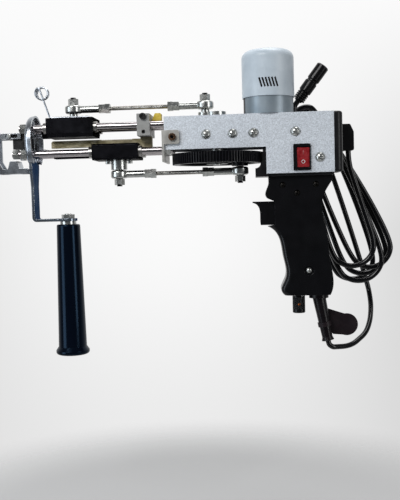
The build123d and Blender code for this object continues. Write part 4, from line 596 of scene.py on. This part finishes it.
class TUFTING_OT_fasteners(bpy.types.Operator):
    """Finish the screws, nuts, studs and bearings"""

    bl_idname = "tufting.fasteners"
    bl_label = "Finish Fasteners"

    def execute(self, context):
        tone = tuple(context.scene.tufting_finishes.steel_tone)
        steel = make_finish(
            "nickel_steel", darker(tone, 0.88), lighter(tone, 0.1), (0.2, 0.32), 1.0,
            patch=0.004, relief=0.000006, edge=0.0003, edge_wear_and_sheen=(0.75, 0.74, 0.70), spots=STUD_TIPS,
        )
        screws = make_finish(
            "screw_steel", darker(tone, 0.85), lighter(tone, 0.1), (0.22, 0.34), 0.9,
            patch=0.004, relief=0.000006, edge=0.0003, spots=(NECK_DARK_SPOT, *TAB_SCREW_TONE_AND_SHADE),
        )
        dress(screws, "housing_screws")
        dress(
            steel, "ball_bearings", "hex_nuts", "handle_bolt", "crank_shaft",
            "drive_pinion", "upper_slider_stud", "upper_rod_ends", "upper_rod_fasteners",
            "lower_slider_stud", "lower_rod_ends", "lower_rod_fasteners", "trigger_spring",
        )
        black = make_finish(
            "blackened_steel", (0.012, 0.012, 0.013), (0.022, 0.021, 0.020), (0.3, 0.45), 0.6,
            patch=0.004, relief=0.00001, edge_wear_and_sheen=(0.12, 0.12, 0.12),
        )
        dress(black, "cap_screws", "foot_block", "motor_armature")
        return {"FINISHED"}


class TUFTING_OT_motor(bpy.types.Operator):
    """Finish the motor can and its vented cap, with a dark strip of painted shade down its side"""

    bl_idname = "tufting.motor"
    bl_label = "Finish Motor"

    def execute(self, context):
        tones = context.scene.tufting_finishes
        cap_tone, can_tone = tuple(tones.cap_tone), tuple(tones.can_tone)
        cap = make_finish(
            "milky_cap_plastic", darker(cap_tone, 0.92), lighter(cap_tone, 0.08), (0.28, 0.4),
            patch=0.02, grain=0.0008, relief=0.00001, edge=0.0004, edge_wear_and_sheen=lighter(cap_tone, 0.3),
        )
        dress(cap, "motor_cap")
        can = make_finish(
            "grey_motor_can", darker(can_tone, 0.9), lighter(can_tone, 0.06), (0.3, 0.42), 0.35,
            patch=0.02, relief=0.00001, edge=0.0003, edge_wear_and_sheen=lighter(can_tone, 0.3),
        )
        dress(can, "motor_can")
        low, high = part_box("motor_can")
        cap_low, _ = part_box("motor_cap")
        middle = Vector(((low.x + high.x) / 2, (low.y + high.y) / 2, 0))
        radius = (high.x - low.x) / 2
        # A thin black sheet standing just proud of the can where the can lies in shade: painted shade.
        shape = bmesh.new()
        corners = []
        for step in range(STRIP_STEPS + 1):
            angle = STRIP_WAY + STRIP_WIDTH * (step / STRIP_STEPS - 0.5)
            way = Vector((math.cos(angle), math.sin(angle), 0))
            for out in STRIP_DEPTHS:
                for height in (low.z + STRIP_FOOT_GAP, cap_low.z - STRIP_HEAD_GAP):
                    place = middle + way * (radius + out)
                    place.z = height
                    corners.append(shape.verts.new(place))
        for step in range(STRIP_STEPS):
            a = corners[step * 4:step * 4 + 4]
            b = corners[step * 4 + 4:step * 4 + 8]
            for one, two in ((0, 1), (1, 3), (3, 2), (2, 0)):
                shape.faces.new((a[one], a[two], b[two], b[one]))
        for end in (corners[:4], corners[-4:]):
            shape.faces.new((end[0], end[1], end[3], end[2]))
        strip = make_finish("black_painted_shade_strip", (0.008, 0.008, 0.009), (0.02, 0.02, 0.022), (0.35, 0.5))
        mesh_piece("can_shade_strip", shape, "housing", strip, smooth=False)
        return {"FINISHED"}


class TUFTING_OT_gears(bpy.types.Operator):
    """Finish the large gear"""

    bl_idname = "tufting.gears"
    bl_label = "Finish Gears"

    def execute(self, context):
        nylon = make_finish(
            "black_nylon", (0.003, 0.003, 0.005), (0.005, 0.005, 0.007), (0.28, 0.4),
            patch=0.008, relief=0.00001, edge=0.0002, edge_wear_and_sheen=(0.03, 0.03, 0.034), plain=DULL_SHEEN,
        )
        dress(nylon, "main_gear")
        return {"FINISHED"}


class TUFTING_OT_slides(bpy.types.Operator):
    """Finish the guide rods, both sliders, their bushes, the cam bar and the bump pad"""

    bl_idname = "tufting.slides"
    bl_label = "Finish Slides"

    def execute(self, context):
        tones = context.scene.tufting_finishes
        # The dark pinkish tones are painted reflection of the surroundings, darker than chrome's own colour.
        chrome = make_finish(
            "chromed_rod", (0.42, 0.385, 0.39), (0.56, 0.53, 0.535), (0.06, 0.14), 1.0,
            patch=0.01, stretch=(0.12, 1, 1), relief=0.000003, edge=0.0003,
        )
        dress(chrome, "guide_rods")
        # The grey edge tone of these blocks is painted highlight along their edges.
        block = make_finish(
            "black_slider_block", (0.010, 0.010, 0.012), (0.014, 0.014, 0.017), (0.26, 0.38), 1.0,
            patch=0.008, relief=0.000015, edge=0.0006, edge_wear_and_sheen=(0.06, 0.06, 0.065), plain=DARK_EDGE,
        )
        dress(block, "upper_slider", "lower_slider")
        bush = make_finish(
            "bush_steel", (0.30, 0.29, 0.28), (0.40, 0.39, 0.37), (0.25, 0.4), 1.0, patch=0.004
        )
        dress(bush, "upper_bushes", "lower_bushes")
        tone = tuple(tones.bar_tone)
        bar = make_finish(
            "stained_brass", darker(tone, 0.55), lighter(tone, 0.12), (0.3, 0.5), 0.85,
            patch=0.004, relief=0.00003, stretch=(0.5, 1, 1), edge_wear_and_sheen=(0.6, 0.55, 0.35),
        )
        dress(bar, "cam_bar")
        pad_tone = tuple(tones.pad_tone)
        pad = make_finish(
            "yellow_pad", darker(pad_tone, 0.8), lighter(pad_tone, 0.06), (0.5, 0.65),
            patch=0.003, relief=0.00003, edge=0.0005, edge_wear_and_sheen=(0.85, 0.75, 0.3),
        )
        dress(pad, "bump_pad")
        return {"FINISHED"}


class TUFTING_OT_links(bpy.types.Operator):
    """Finish the two threaded connecting rods"""

    bl_idname = "tufting.links"
    bl_label = "Finish Connecting Rods"

    def execute(self, context):
        threaded = make_finish(
            "threaded_rod", (0.36, 0.34, 0.31), (0.62, 0.60, 0.56), (0.18, 0.3), 1.0,
            patch=0.006, relief=0.000005, thread=0.0008,
        )
        dress(threaded, "upper_link_rod", "lower_link_rod")
        return {"FINISHED"}


class TUFTING_OT_stitching(bpy.types.Operator):
    """Finish the needle and the scissors"""

    bl_idname = "tufting.stitching"
    bl_label = "Finish Stitching Tools"

    def execute(self, context):
        bright = make_finish(
            "polished_tool_steel", (0.50, 0.51, 0.53), (0.68, 0.69, 0.71), (0.1, 0.22), 1.0,
            patch=0.008, stretch=(0.3, 1, 1), relief=0.000004, edge=0.0002,
        )
        dress(bright, "needle", "fixed_blade", "moving_blade")
        return {"FINISHED"}


class TUFTING_OT_front(bpy.types.Operator):
    """Finish the front ring, its arm, the foot, the yarn eyelet, the rod bracket and the side handle"""

    bl_idname = "tufting.front"
    bl_label = "Finish Front"

    def execute(self, context):
        tone = tuple(context.scene.tufting_finishes.zinc_tone)
        zinc = make_finish(
            "brushed_zinc", darker(tone, 0.85), lighter(tone, 0.08), (0.18, 0.28), 1.0,
            patch=0.01, grain=0.0004, relief=0.000012, stretch=(1, 1, 0.25), edge=0.0005,
            edge_wear_and_sheen=lighter(tone, 0.5),
        )
        dress(zinc, "front_ring", "presser_foot", "yarn_eyelet")
        dull = make_finish(
            "dull_zinc_plate", (0.40, 0.39, 0.36), (0.50, 0.49, 0.46), (0.3, 0.4), 0.5,
            patch=0.006, relief=0.00001, edge=0.0004, edge_wear_and_sheen=(0.7, 0.7, 0.68),
        )
        dress(dull, "rod_bracket")
        blued = make_finish(
            "blued_zinc", (0.22, 0.26, 0.31), (0.29, 0.33, 0.38), (0.18, 0.28), 1.0,
            patch=0.01, grain=0.0004, relief=0.00001, stretch=(1, 1, 0.25), edge=0.0007,
            edge_wear_and_sheen=lighter(tone, 0.5), plain=(("Specular Tint", (0.05, 0.08, 0.14, 1.0)),),
        )
        dress(blued, "handle_arm")
        gloss = make_finish(
            "black_gloss_handle", (0.001, 0.002, 0.005), (0.002, 0.003, 0.007), (0.12, 0.2),
            patch=0.02, grain=0.001, relief=0.000005, stretch=(1, 1, 0.2), edge=0.0008,
            edge_wear_and_sheen=(0.01, 0.012, 0.02), plain=BLUE_SHEEN,
        )
        dress(gloss, "side_handle")
        return {"FINISHED"}


class TUFTING_OT_grip(bpy.types.Operator):
    """Finish the pistol grip, and mark the speed knob with its dot"""

    bl_idname = "tufting.grip"
    bl_label = "Finish Grip"

    def execute(self, context):
        tone = tuple(context.scene.tufting_finishes.black_tone)
        plastic = make_finish(
            "moulded_black_plastic", darker(tone, 0.6), darker(tone, 0.95), (0.2, 0.28),
            patch=0.015, grain=0.0008, relief=0.000003, edge=0.0006, edge_wear_and_sheen=(0.02, 0.02, 0.024),
            plain=DULL_SHEEN,
        )
        dress(
            plastic, "near_grip_shell", "far_grip_shell", "trigger", "trigger_switch", "potentiometer",
            "speed_knob", "round_connector", "switch_bezel",
        )
        rubber = make_finish(
            "strain_relief_rubber", (0.003, 0.002, 0.003), (0.005, 0.003, 0.004), (0.24, 0.34), patch=0.006,
            grain=0.0012, relief=0.000002, plain=DULL_SHEEN,
        )
        dress(rubber, "strain_relief")
        low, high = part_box("speed_knob")
        middle = Vector(((low.x + high.x) / 2, low.y, low.z + DOT_LEVEL * (high.z - low.z)))
        radius = context.scene.tufting_marks.dot_radius
        shape = bmesh.new()
        dot = ring_of(middle, Vector((1, 0, 0)), Vector((0, 0, 1)), radius, DOT_CORNERS)
        laid_mark(shape, [dot], surface_of("speed_knob"), Vector((0, 1, 0)), MARK_START, DOT_LIFT)
        orange = make_finish("orange_dot", (0.75, 0.16, 0.02), (0.85, 0.24, 0.03), (0.4, 0.5), patch=0.002)
        mesh_piece("knob_dot", shape, "knob", orange)
        return {"FINISHED"}


class TUFTING_OT_switch(bpy.types.Operator):
    """Finish the rocker switch and print its marks for on and off"""

    bl_idname = "tufting.switch"
    bl_label = "Finish Switch"

    def execute(self, context):
        marks = context.scene.tufting_marks
        tone = tuple(context.scene.tufting_finishes.rocker_tone)
        red = make_finish(
            "red_rocker_plastic", darker(tone, 0.7), lighter(tone, 0.02), (0.18, 0.3),
            patch=0.004, relief=0.00001, edge=0.0005, edge_wear_and_sheen=(0.62, 0.03, 0.035), plain=(("Coat Weight", 0.2),),
        )
        dress(red, "switch_rocker")
        white = make_finish(
            "white_switch_print", (0.62, 0.60, 0.60), (0.74, 0.72, 0.72), (0.4, 0.5), patch=0.001
        )
        low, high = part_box("switch_rocker")
        surface = surface_of("switch_rocker")
        across, up, inward = Vector((1, 0, 0)), Vector((0, 0, 1)), Vector((0, 1, 0))
        middle_x = (low.x + high.x) / 2
        height = high.z - low.z
        shape = bmesh.new()
        centre = Vector((middle_x, low.y, low.z + OFF_LEVEL * height))
        outer = marks.height * OFF_RADIUS_SHARE
        rows = [
            ring_of(centre, across, up, outer, RING_CORNERS),
            ring_of(centre, across, up, outer - marks.stroke, RING_CORNERS),
        ]
        laid_mark(shape, rows, surface, inward, MARK_START, MARK_LIFT)
        mesh_piece("rocker_off_mark", shape, "rocker", white)
        shape = bmesh.new()
        centre = Vector((middle_x, low.y, low.z + ON_LEVEL * height))
        half_wide, half_high = marks.stroke / 2, marks.height / 2
        bar = [
            centre + across * a * half_wide + up * b * half_high
            for a, b in ((-1, -1), (1, -1), (1, 1), (-1, 1))
        ]
        laid_mark(shape, [bar], surface, inward, MARK_START, MARK_LIFT)
        faint = make_finish(
            "faint_switch_print", (0.42, 0.12, 0.12), (0.52, 0.20, 0.20), (0.4, 0.5), patch=0.001
        )
        mesh_piece("rocker_on_mark", shape, "rocker", faint)
        return {"FINISHED"}


def cord_finish():
    """The finish that the mains cord and the connector's lead share."""
    found = bpy.data.materials.get("black_cord_sheath")
    if found:
        return found
    return make_finish(
        "black_cord_sheath", (0.0015, 0.0015, 0.002), (0.003, 0.003, 0.0045), (0.12, 0.18),
        patch=0.03, edge=0.0, plain=(("Specular IOR Level", 0.4),),
    )


class TUFTING_OT_mains_cord(bpy.types.Operator):
    """Lay the mains cord from the strain relief through its hank to the plug, and finish its bare tag"""

    bl_idname = "tufting.mains_cord"
    bl_label = "Lay Mains Cord"

    def execute(self, context):
        cords = context.scene.tufting_cords
        plug_low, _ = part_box("mains_plug")
        route = mains_route(cords.layer, cords.near_y, plug_low.z)
        cord = cord_curve("mains_cord", route, cords.diameter)
        link_piece(cord, "housing", cord_finish())
        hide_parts("power_cord", "cord_hank", "plug_tail")
        card = make_finish(
            "dark_tag_card", (0.006, 0.003, 0.005), (0.010, 0.005, 0.007), (0.4, 0.55),
            patch=0.006, relief=0.00001, edge=0.0003, plain=(("Specular IOR Level", 0.25),),
        )
        dress(card, "cord_tag")
        dress(
            make_finish(
                "moulded_plug_black", (0.003, 0.003, 0.004), (0.006, 0.006, 0.007), (0.24, 0.34),
                patch=0.008, relief=0.00001, edge=0.0006, edge_wear_and_sheen=(0.025, 0.025, 0.03), plain=DULL_SHEEN,
            ),
            "mains_plug",
        )
        return {"FINISHED"}


class TUFTING_OT_connector_lead(bpy.types.Operator):
    """Lay the short lead from the housing's top into the round connector"""

    bl_idname = "tufting.connector_lead"
    bl_label = "Lay Connector Lead"

    def execute(self, context):
        cords = context.scene.tufting_cords
        route = eased([Vector(place) for place in LEAD_ROUTE])
        lead = cord_curve("short_lead", route, cords.diameter)
        link_piece(lead, "housing", cord_finish())
        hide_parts("connector_lead")
        return {"FINISHED"}


# Studio

WHITE = (1.0, 1.0, 1.0)
# Each lamp's name, place, width, height, power in watts and tone.
LAMPS = (
    ("key_softbox", (-0.75, -1.25, 0.95), 0.9, 0.7, 17, WHITE),
    ("fill_softbox", (1.25, -0.95, 0.25), 0.5, 1.1, 7, WHITE),
    ("top_softbox", (0.1, 0.25, 1.35), 1.1, 0.6, 12, WHITE),
    ("cool_side_panel", (-1.25, -0.72, 0.05), 0.55, 1.3, 7, (0.82, 0.91, 1.0)),
)
FLOOR_RADIUS = 4.0
FLOOR_CORNERS = 96
# Where the floor starts and ends to fade into the surroundings, in metres from its middle.
FADE_START = 0.27
FADE_END = 0.52
# Levels of grey of the surroundings.
FRONT_TONE = (0.10, 0.105, 0.11)
LOW_WALL = (0.3, 0.3, 0.3)
HIGH_WALL = (0.93, 0.93, 0.93)
LOW_BACKDROP = (0.83, 0.83, 0.83)
HIGH_BACKDROP = (0.97, 0.97, 0.97)
SIDE_BACKDROP = (0.66, 0.66, 0.66)
# How far left of straight ahead the backdrop is brightest, and how fast it darkens to the sides.
BRIGHT_SHIFT = 0.11
SIDE_FALL = 10.0
SENSOR_WIDTH = 36
VIEW_NEAR, VIEW_FAR = 0.01, 50


def soft_lamp(name, place, aim, width, height, power, tone):
    """A large soft lamp turned to the tool."""
    lamp = bpy.data.lights.new(name, "AREA")
    lamp.shape = "RECTANGLE"
    lamp.size, lamp.size_y = width, height
    lamp.energy = power
    lamp.color = tone
    holder = bpy.data.objects.new(name, lamp)
    holder.location = place
    holder.rotation_euler = (Vector(aim) - Vector(place)).to_track_quat("-Z", "Y").to_euler()
    bpy.context.scene.collection.objects.link(holder)


class TUFTING_OT_studio(bpy.types.Operator):
    """Set the pale floor, the plain surroundings, the soft lamps and the camera"""

    bl_idname = "tufting.studio"
    bl_label = "Set Studio"

    def execute(self, context):
        studio = context.scene.tufting_studio
        self.lay_floor(studio)
        self.set_world()
        middle = (load_box[0] + load_box[1]) / 2
        for name, place, width, height, power, tone in LAMPS:
            soft_lamp(name, place, middle, width, height, power, tone)
        self.place_camera(context, studio)
        context.scene.view_settings.view_transform = "Standard"
        return {"FINISHED"}

    def lay_floor(self, studio):
        """A round pale floor that fades into the surroundings."""
        shape = bmesh.new()
        bmesh.ops.create_circle(shape, cap_ends=True, segments=FLOOR_CORNERS, radius=FLOOR_RADIUS)
        mesh = bpy.data.meshes.new("studio_floor")
        shape.to_mesh(mesh)
        shape.free()
        floor = bpy.data.objects.new("studio_floor", mesh)
        floor.location = ((load_box[0].x + load_box[1].x) / 2, 0, studio.floor_z)
        bpy.context.scene.collection.objects.link(floor)
        finish = bpy.data.materials.new("pale_floor")
        finish.use_nodes = True
        tree = finish.node_tree
        shader = tree.nodes["Principled BSDF"]
        tone = tuple(studio.floor_tone)
        shader.inputs["Roughness"].default_value = 0.9
        place = add_node(tree, "ShaderNodeTexCoord").outputs["Object"]
        clouds = grain_of(tree, place, 0.4, 4.0)
        tree.links.new(blend_tones(tree, clouds, darker(tone, 0.985), tone), shader.inputs["Base Color"])
        away = add_node(tree, "ShaderNodeVectorMath", operation="LENGTH")
        tree.links.new(place, away.inputs[0])
        fade = add_node(
            tree,
            "ShaderNodeMapRange",
            From_Min=FADE_START,
            From_Max=FADE_END,
            interpolation_type="SMOOTHSTEP",
        )
        tree.links.new(away.outputs["Value"], fade.inputs["Value"])
        clear = add_node(tree, "ShaderNodeBsdfTransparent")
        both = add_node(tree, "ShaderNodeMixShader")
        tree.links.new(fade.outputs["Result"], both.inputs["Fac"])
        tree.links.new(shader.outputs["BSDF"], both.inputs[1])
        tree.links.new(clear.outputs["BSDF"], both.inputs[2])
        tree.links.new(both.outputs["Shader"], tree.nodes["Material Output"].inputs["Surface"])
        mesh.materials.append(finish)

    def set_world(self):
        """A pale backdrop for the eye, mirrors and clear pieces, and dim light from in front and below."""
        world = bpy.data.worlds.new("plain_studio")
        bpy.context.scene.world = world
        world.use_nodes = True
        tree = world.node_tree
        ground = tree.nodes["Background"]
        way = add_node(tree, "ShaderNodeTexCoord").outputs["Generated"]
        parts = add_node(tree, "ShaderNodeSeparateXYZ")
        tree.links.new(way, parts.inputs["Vector"])
        across, depth, height = (parts.outputs[axis] for axis in "XYZ")
        behind = spread(tree, depth, 0.0, 1.0, -0.15, 0.75)
        wall = blend_tones(tree, spread(tree, height, 0.0, 1.0, -0.4, 0.1), LOW_WALL, HIGH_WALL)
        dim = blend_tones(tree, behind, FRONT_TONE, wall)
        aside = add_node(tree, "ShaderNodeMath", operation="ADD")
        tree.links.new(across, aside.inputs[0])
        aside.inputs[1].default_value = BRIGHT_SHIFT
        squared = add_node(tree, "ShaderNodeMath", operation="POWER")
        tree.links.new(aside.outputs["Value"], squared.inputs[0])
        squared.inputs[1].default_value = 2.0
        falloff = add_node(tree, "ShaderNodeMath", operation="MULTIPLY")
        tree.links.new(squared.outputs["Value"], falloff.inputs[0])
        tree.links.new(spread(tree, height, SIDE_FALL, 0.0, -0.04, 0.24), falloff.inputs[1])
        upright = add_node(
            tree, "ShaderNodeMapRange", From_Min=-0.3, From_Max=0.0, interpolation_type="SMOOTHSTEP"
        )
        tree.links.new(height, upright.inputs["Value"])
        column = blend_tones(tree, upright.outputs["Result"], LOW_BACKDROP, HIGH_BACKDROP)
        backdrop = blend_tones(
            tree, spread(tree, falloff.outputs["Value"], 0.0, 1.0, 0.0, 1.0), column, SIDE_BACKDROP
        )
        rays = add_node(tree, "ShaderNodeLightPath")
        direct = add_node(tree, "ShaderNodeMath", operation="MAXIMUM")
        tree.links.new(rays.outputs["Is Camera Ray"], direct.inputs[0])
        tree.links.new(rays.outputs["Is Transmission Ray"], direct.inputs[1])
        mirrored = blend_tones(tree, behind, FRONT_TONE, backdrop)
        softly = blend_tones(tree, rays.outputs["Is Glossy Ray"], dim, mirrored)
        seen = blend_tones(tree, direct.outputs["Value"], softly, backdrop)
        tree.links.new(seen, ground.inputs["Color"])
        ground.inputs["Strength"].default_value = 1.0

    def place_camera(self, context, studio):
        """The camera at the photograph's angle."""
        turn, lift = studio.azimuth, studio.elevation
        back = Vector(
            (math.sin(turn) * math.cos(lift), -math.cos(turn) * math.cos(lift), math.sin(lift))
        )
        right = Vector((0, 0, 1)).cross(back).normalized()
        up = back.cross(right)
        rolled_right = right * math.cos(studio.roll) - up * math.sin(studio.roll)
        rolled_up = right * math.sin(studio.roll) + up * math.cos(studio.roll)
        data = bpy.data.cameras.new("photo_camera")
        data.lens = studio.lens
        data.sensor_width = SENSOR_WIDTH
        data.clip_start, data.clip_end = VIEW_NEAR, VIEW_FAR
        camera = bpy.data.objects.new("photo_camera", data)
        place = back * studio.distance - rolled_right * studio.grip_right - rolled_up * studio.grip_up
        turned = Matrix((rolled_right, rolled_up, back)).transposed().to_4x4()
        camera.matrix_world = Matrix.Translation(place) @ turned
        context.scene.collection.objects.link(camera)
        context.scene.camera = camera


class TUFTING_PT_panel(bpy.types.Panel):
    """The tool's pieces and settings"""

    bl_label = "Tufting Gun"
    bl_idname = "TUFTING_PT_panel"
    bl_space_type = "VIEW_3D"
    bl_region_type = "UI"
    bl_category = "Tufting Gun"

    def draw(self, context):
        layout = self.layout
        for group in (
            context.scene.tufting_finishes,
            context.scene.tufting_marks,
            context.scene.tufting_cords,
            context.scene.tufting_studio,
        ):
            box = layout.box()
            for name in group.__annotations__:
                box.prop(group, name)
        for operator in OPERATORS:
            layout.operator(operator.bl_idname)


GROUPS = {
    "tufting_finishes": FinishSettings,
    "tufting_marks": MarkSettings,
    "tufting_cords": CordSettings,
    "tufting_studio": StudioSettings,
}
OPERATORS = (
    TUFTING_OT_studio,
    TUFTING_OT_mains_cord,
    TUFTING_OT_connector_lead,
    TUFTING_OT_housing,
    TUFTING_OT_fasteners,
    TUFTING_OT_motor,
    TUFTING_OT_gears,
    TUFTING_OT_slides,
    TUFTING_OT_links,
    TUFTING_OT_stitching,
    TUFTING_OT_front,
    TUFTING_OT_grip,
    TUFTING_OT_switch,
)


def register():
    for group in GROUPS.values():
        bpy.utils.register_class(group)
    for name, group in GROUPS.items():
        setattr(bpy.types.Scene, name, bpy.props.PointerProperty(type=group))
    for operator in OPERATORS:
        bpy.utils.register_class(operator)
    bpy.utils.register_class(TUFTING_PT_panel)


def unregister():
    bpy.utils.unregister_class(TUFTING_PT_panel)
    for operator in reversed(OPERATORS):
        bpy.utils.unregister_class(operator)
    for name in GROUPS:
        delattr(bpy.types.Scene, name)
    for group in reversed(GROUPS.values()):
        bpy.utils.unregister_class(group)


def main():
    """Registers the add-on and builds every piece in order."""
    register()
    for operator in OPERATORS:
        family, name = operator.bl_idname.split(".")
        getattr(getattr(bpy.ops, family), name)()


if __name__ == "__main__":
    main()
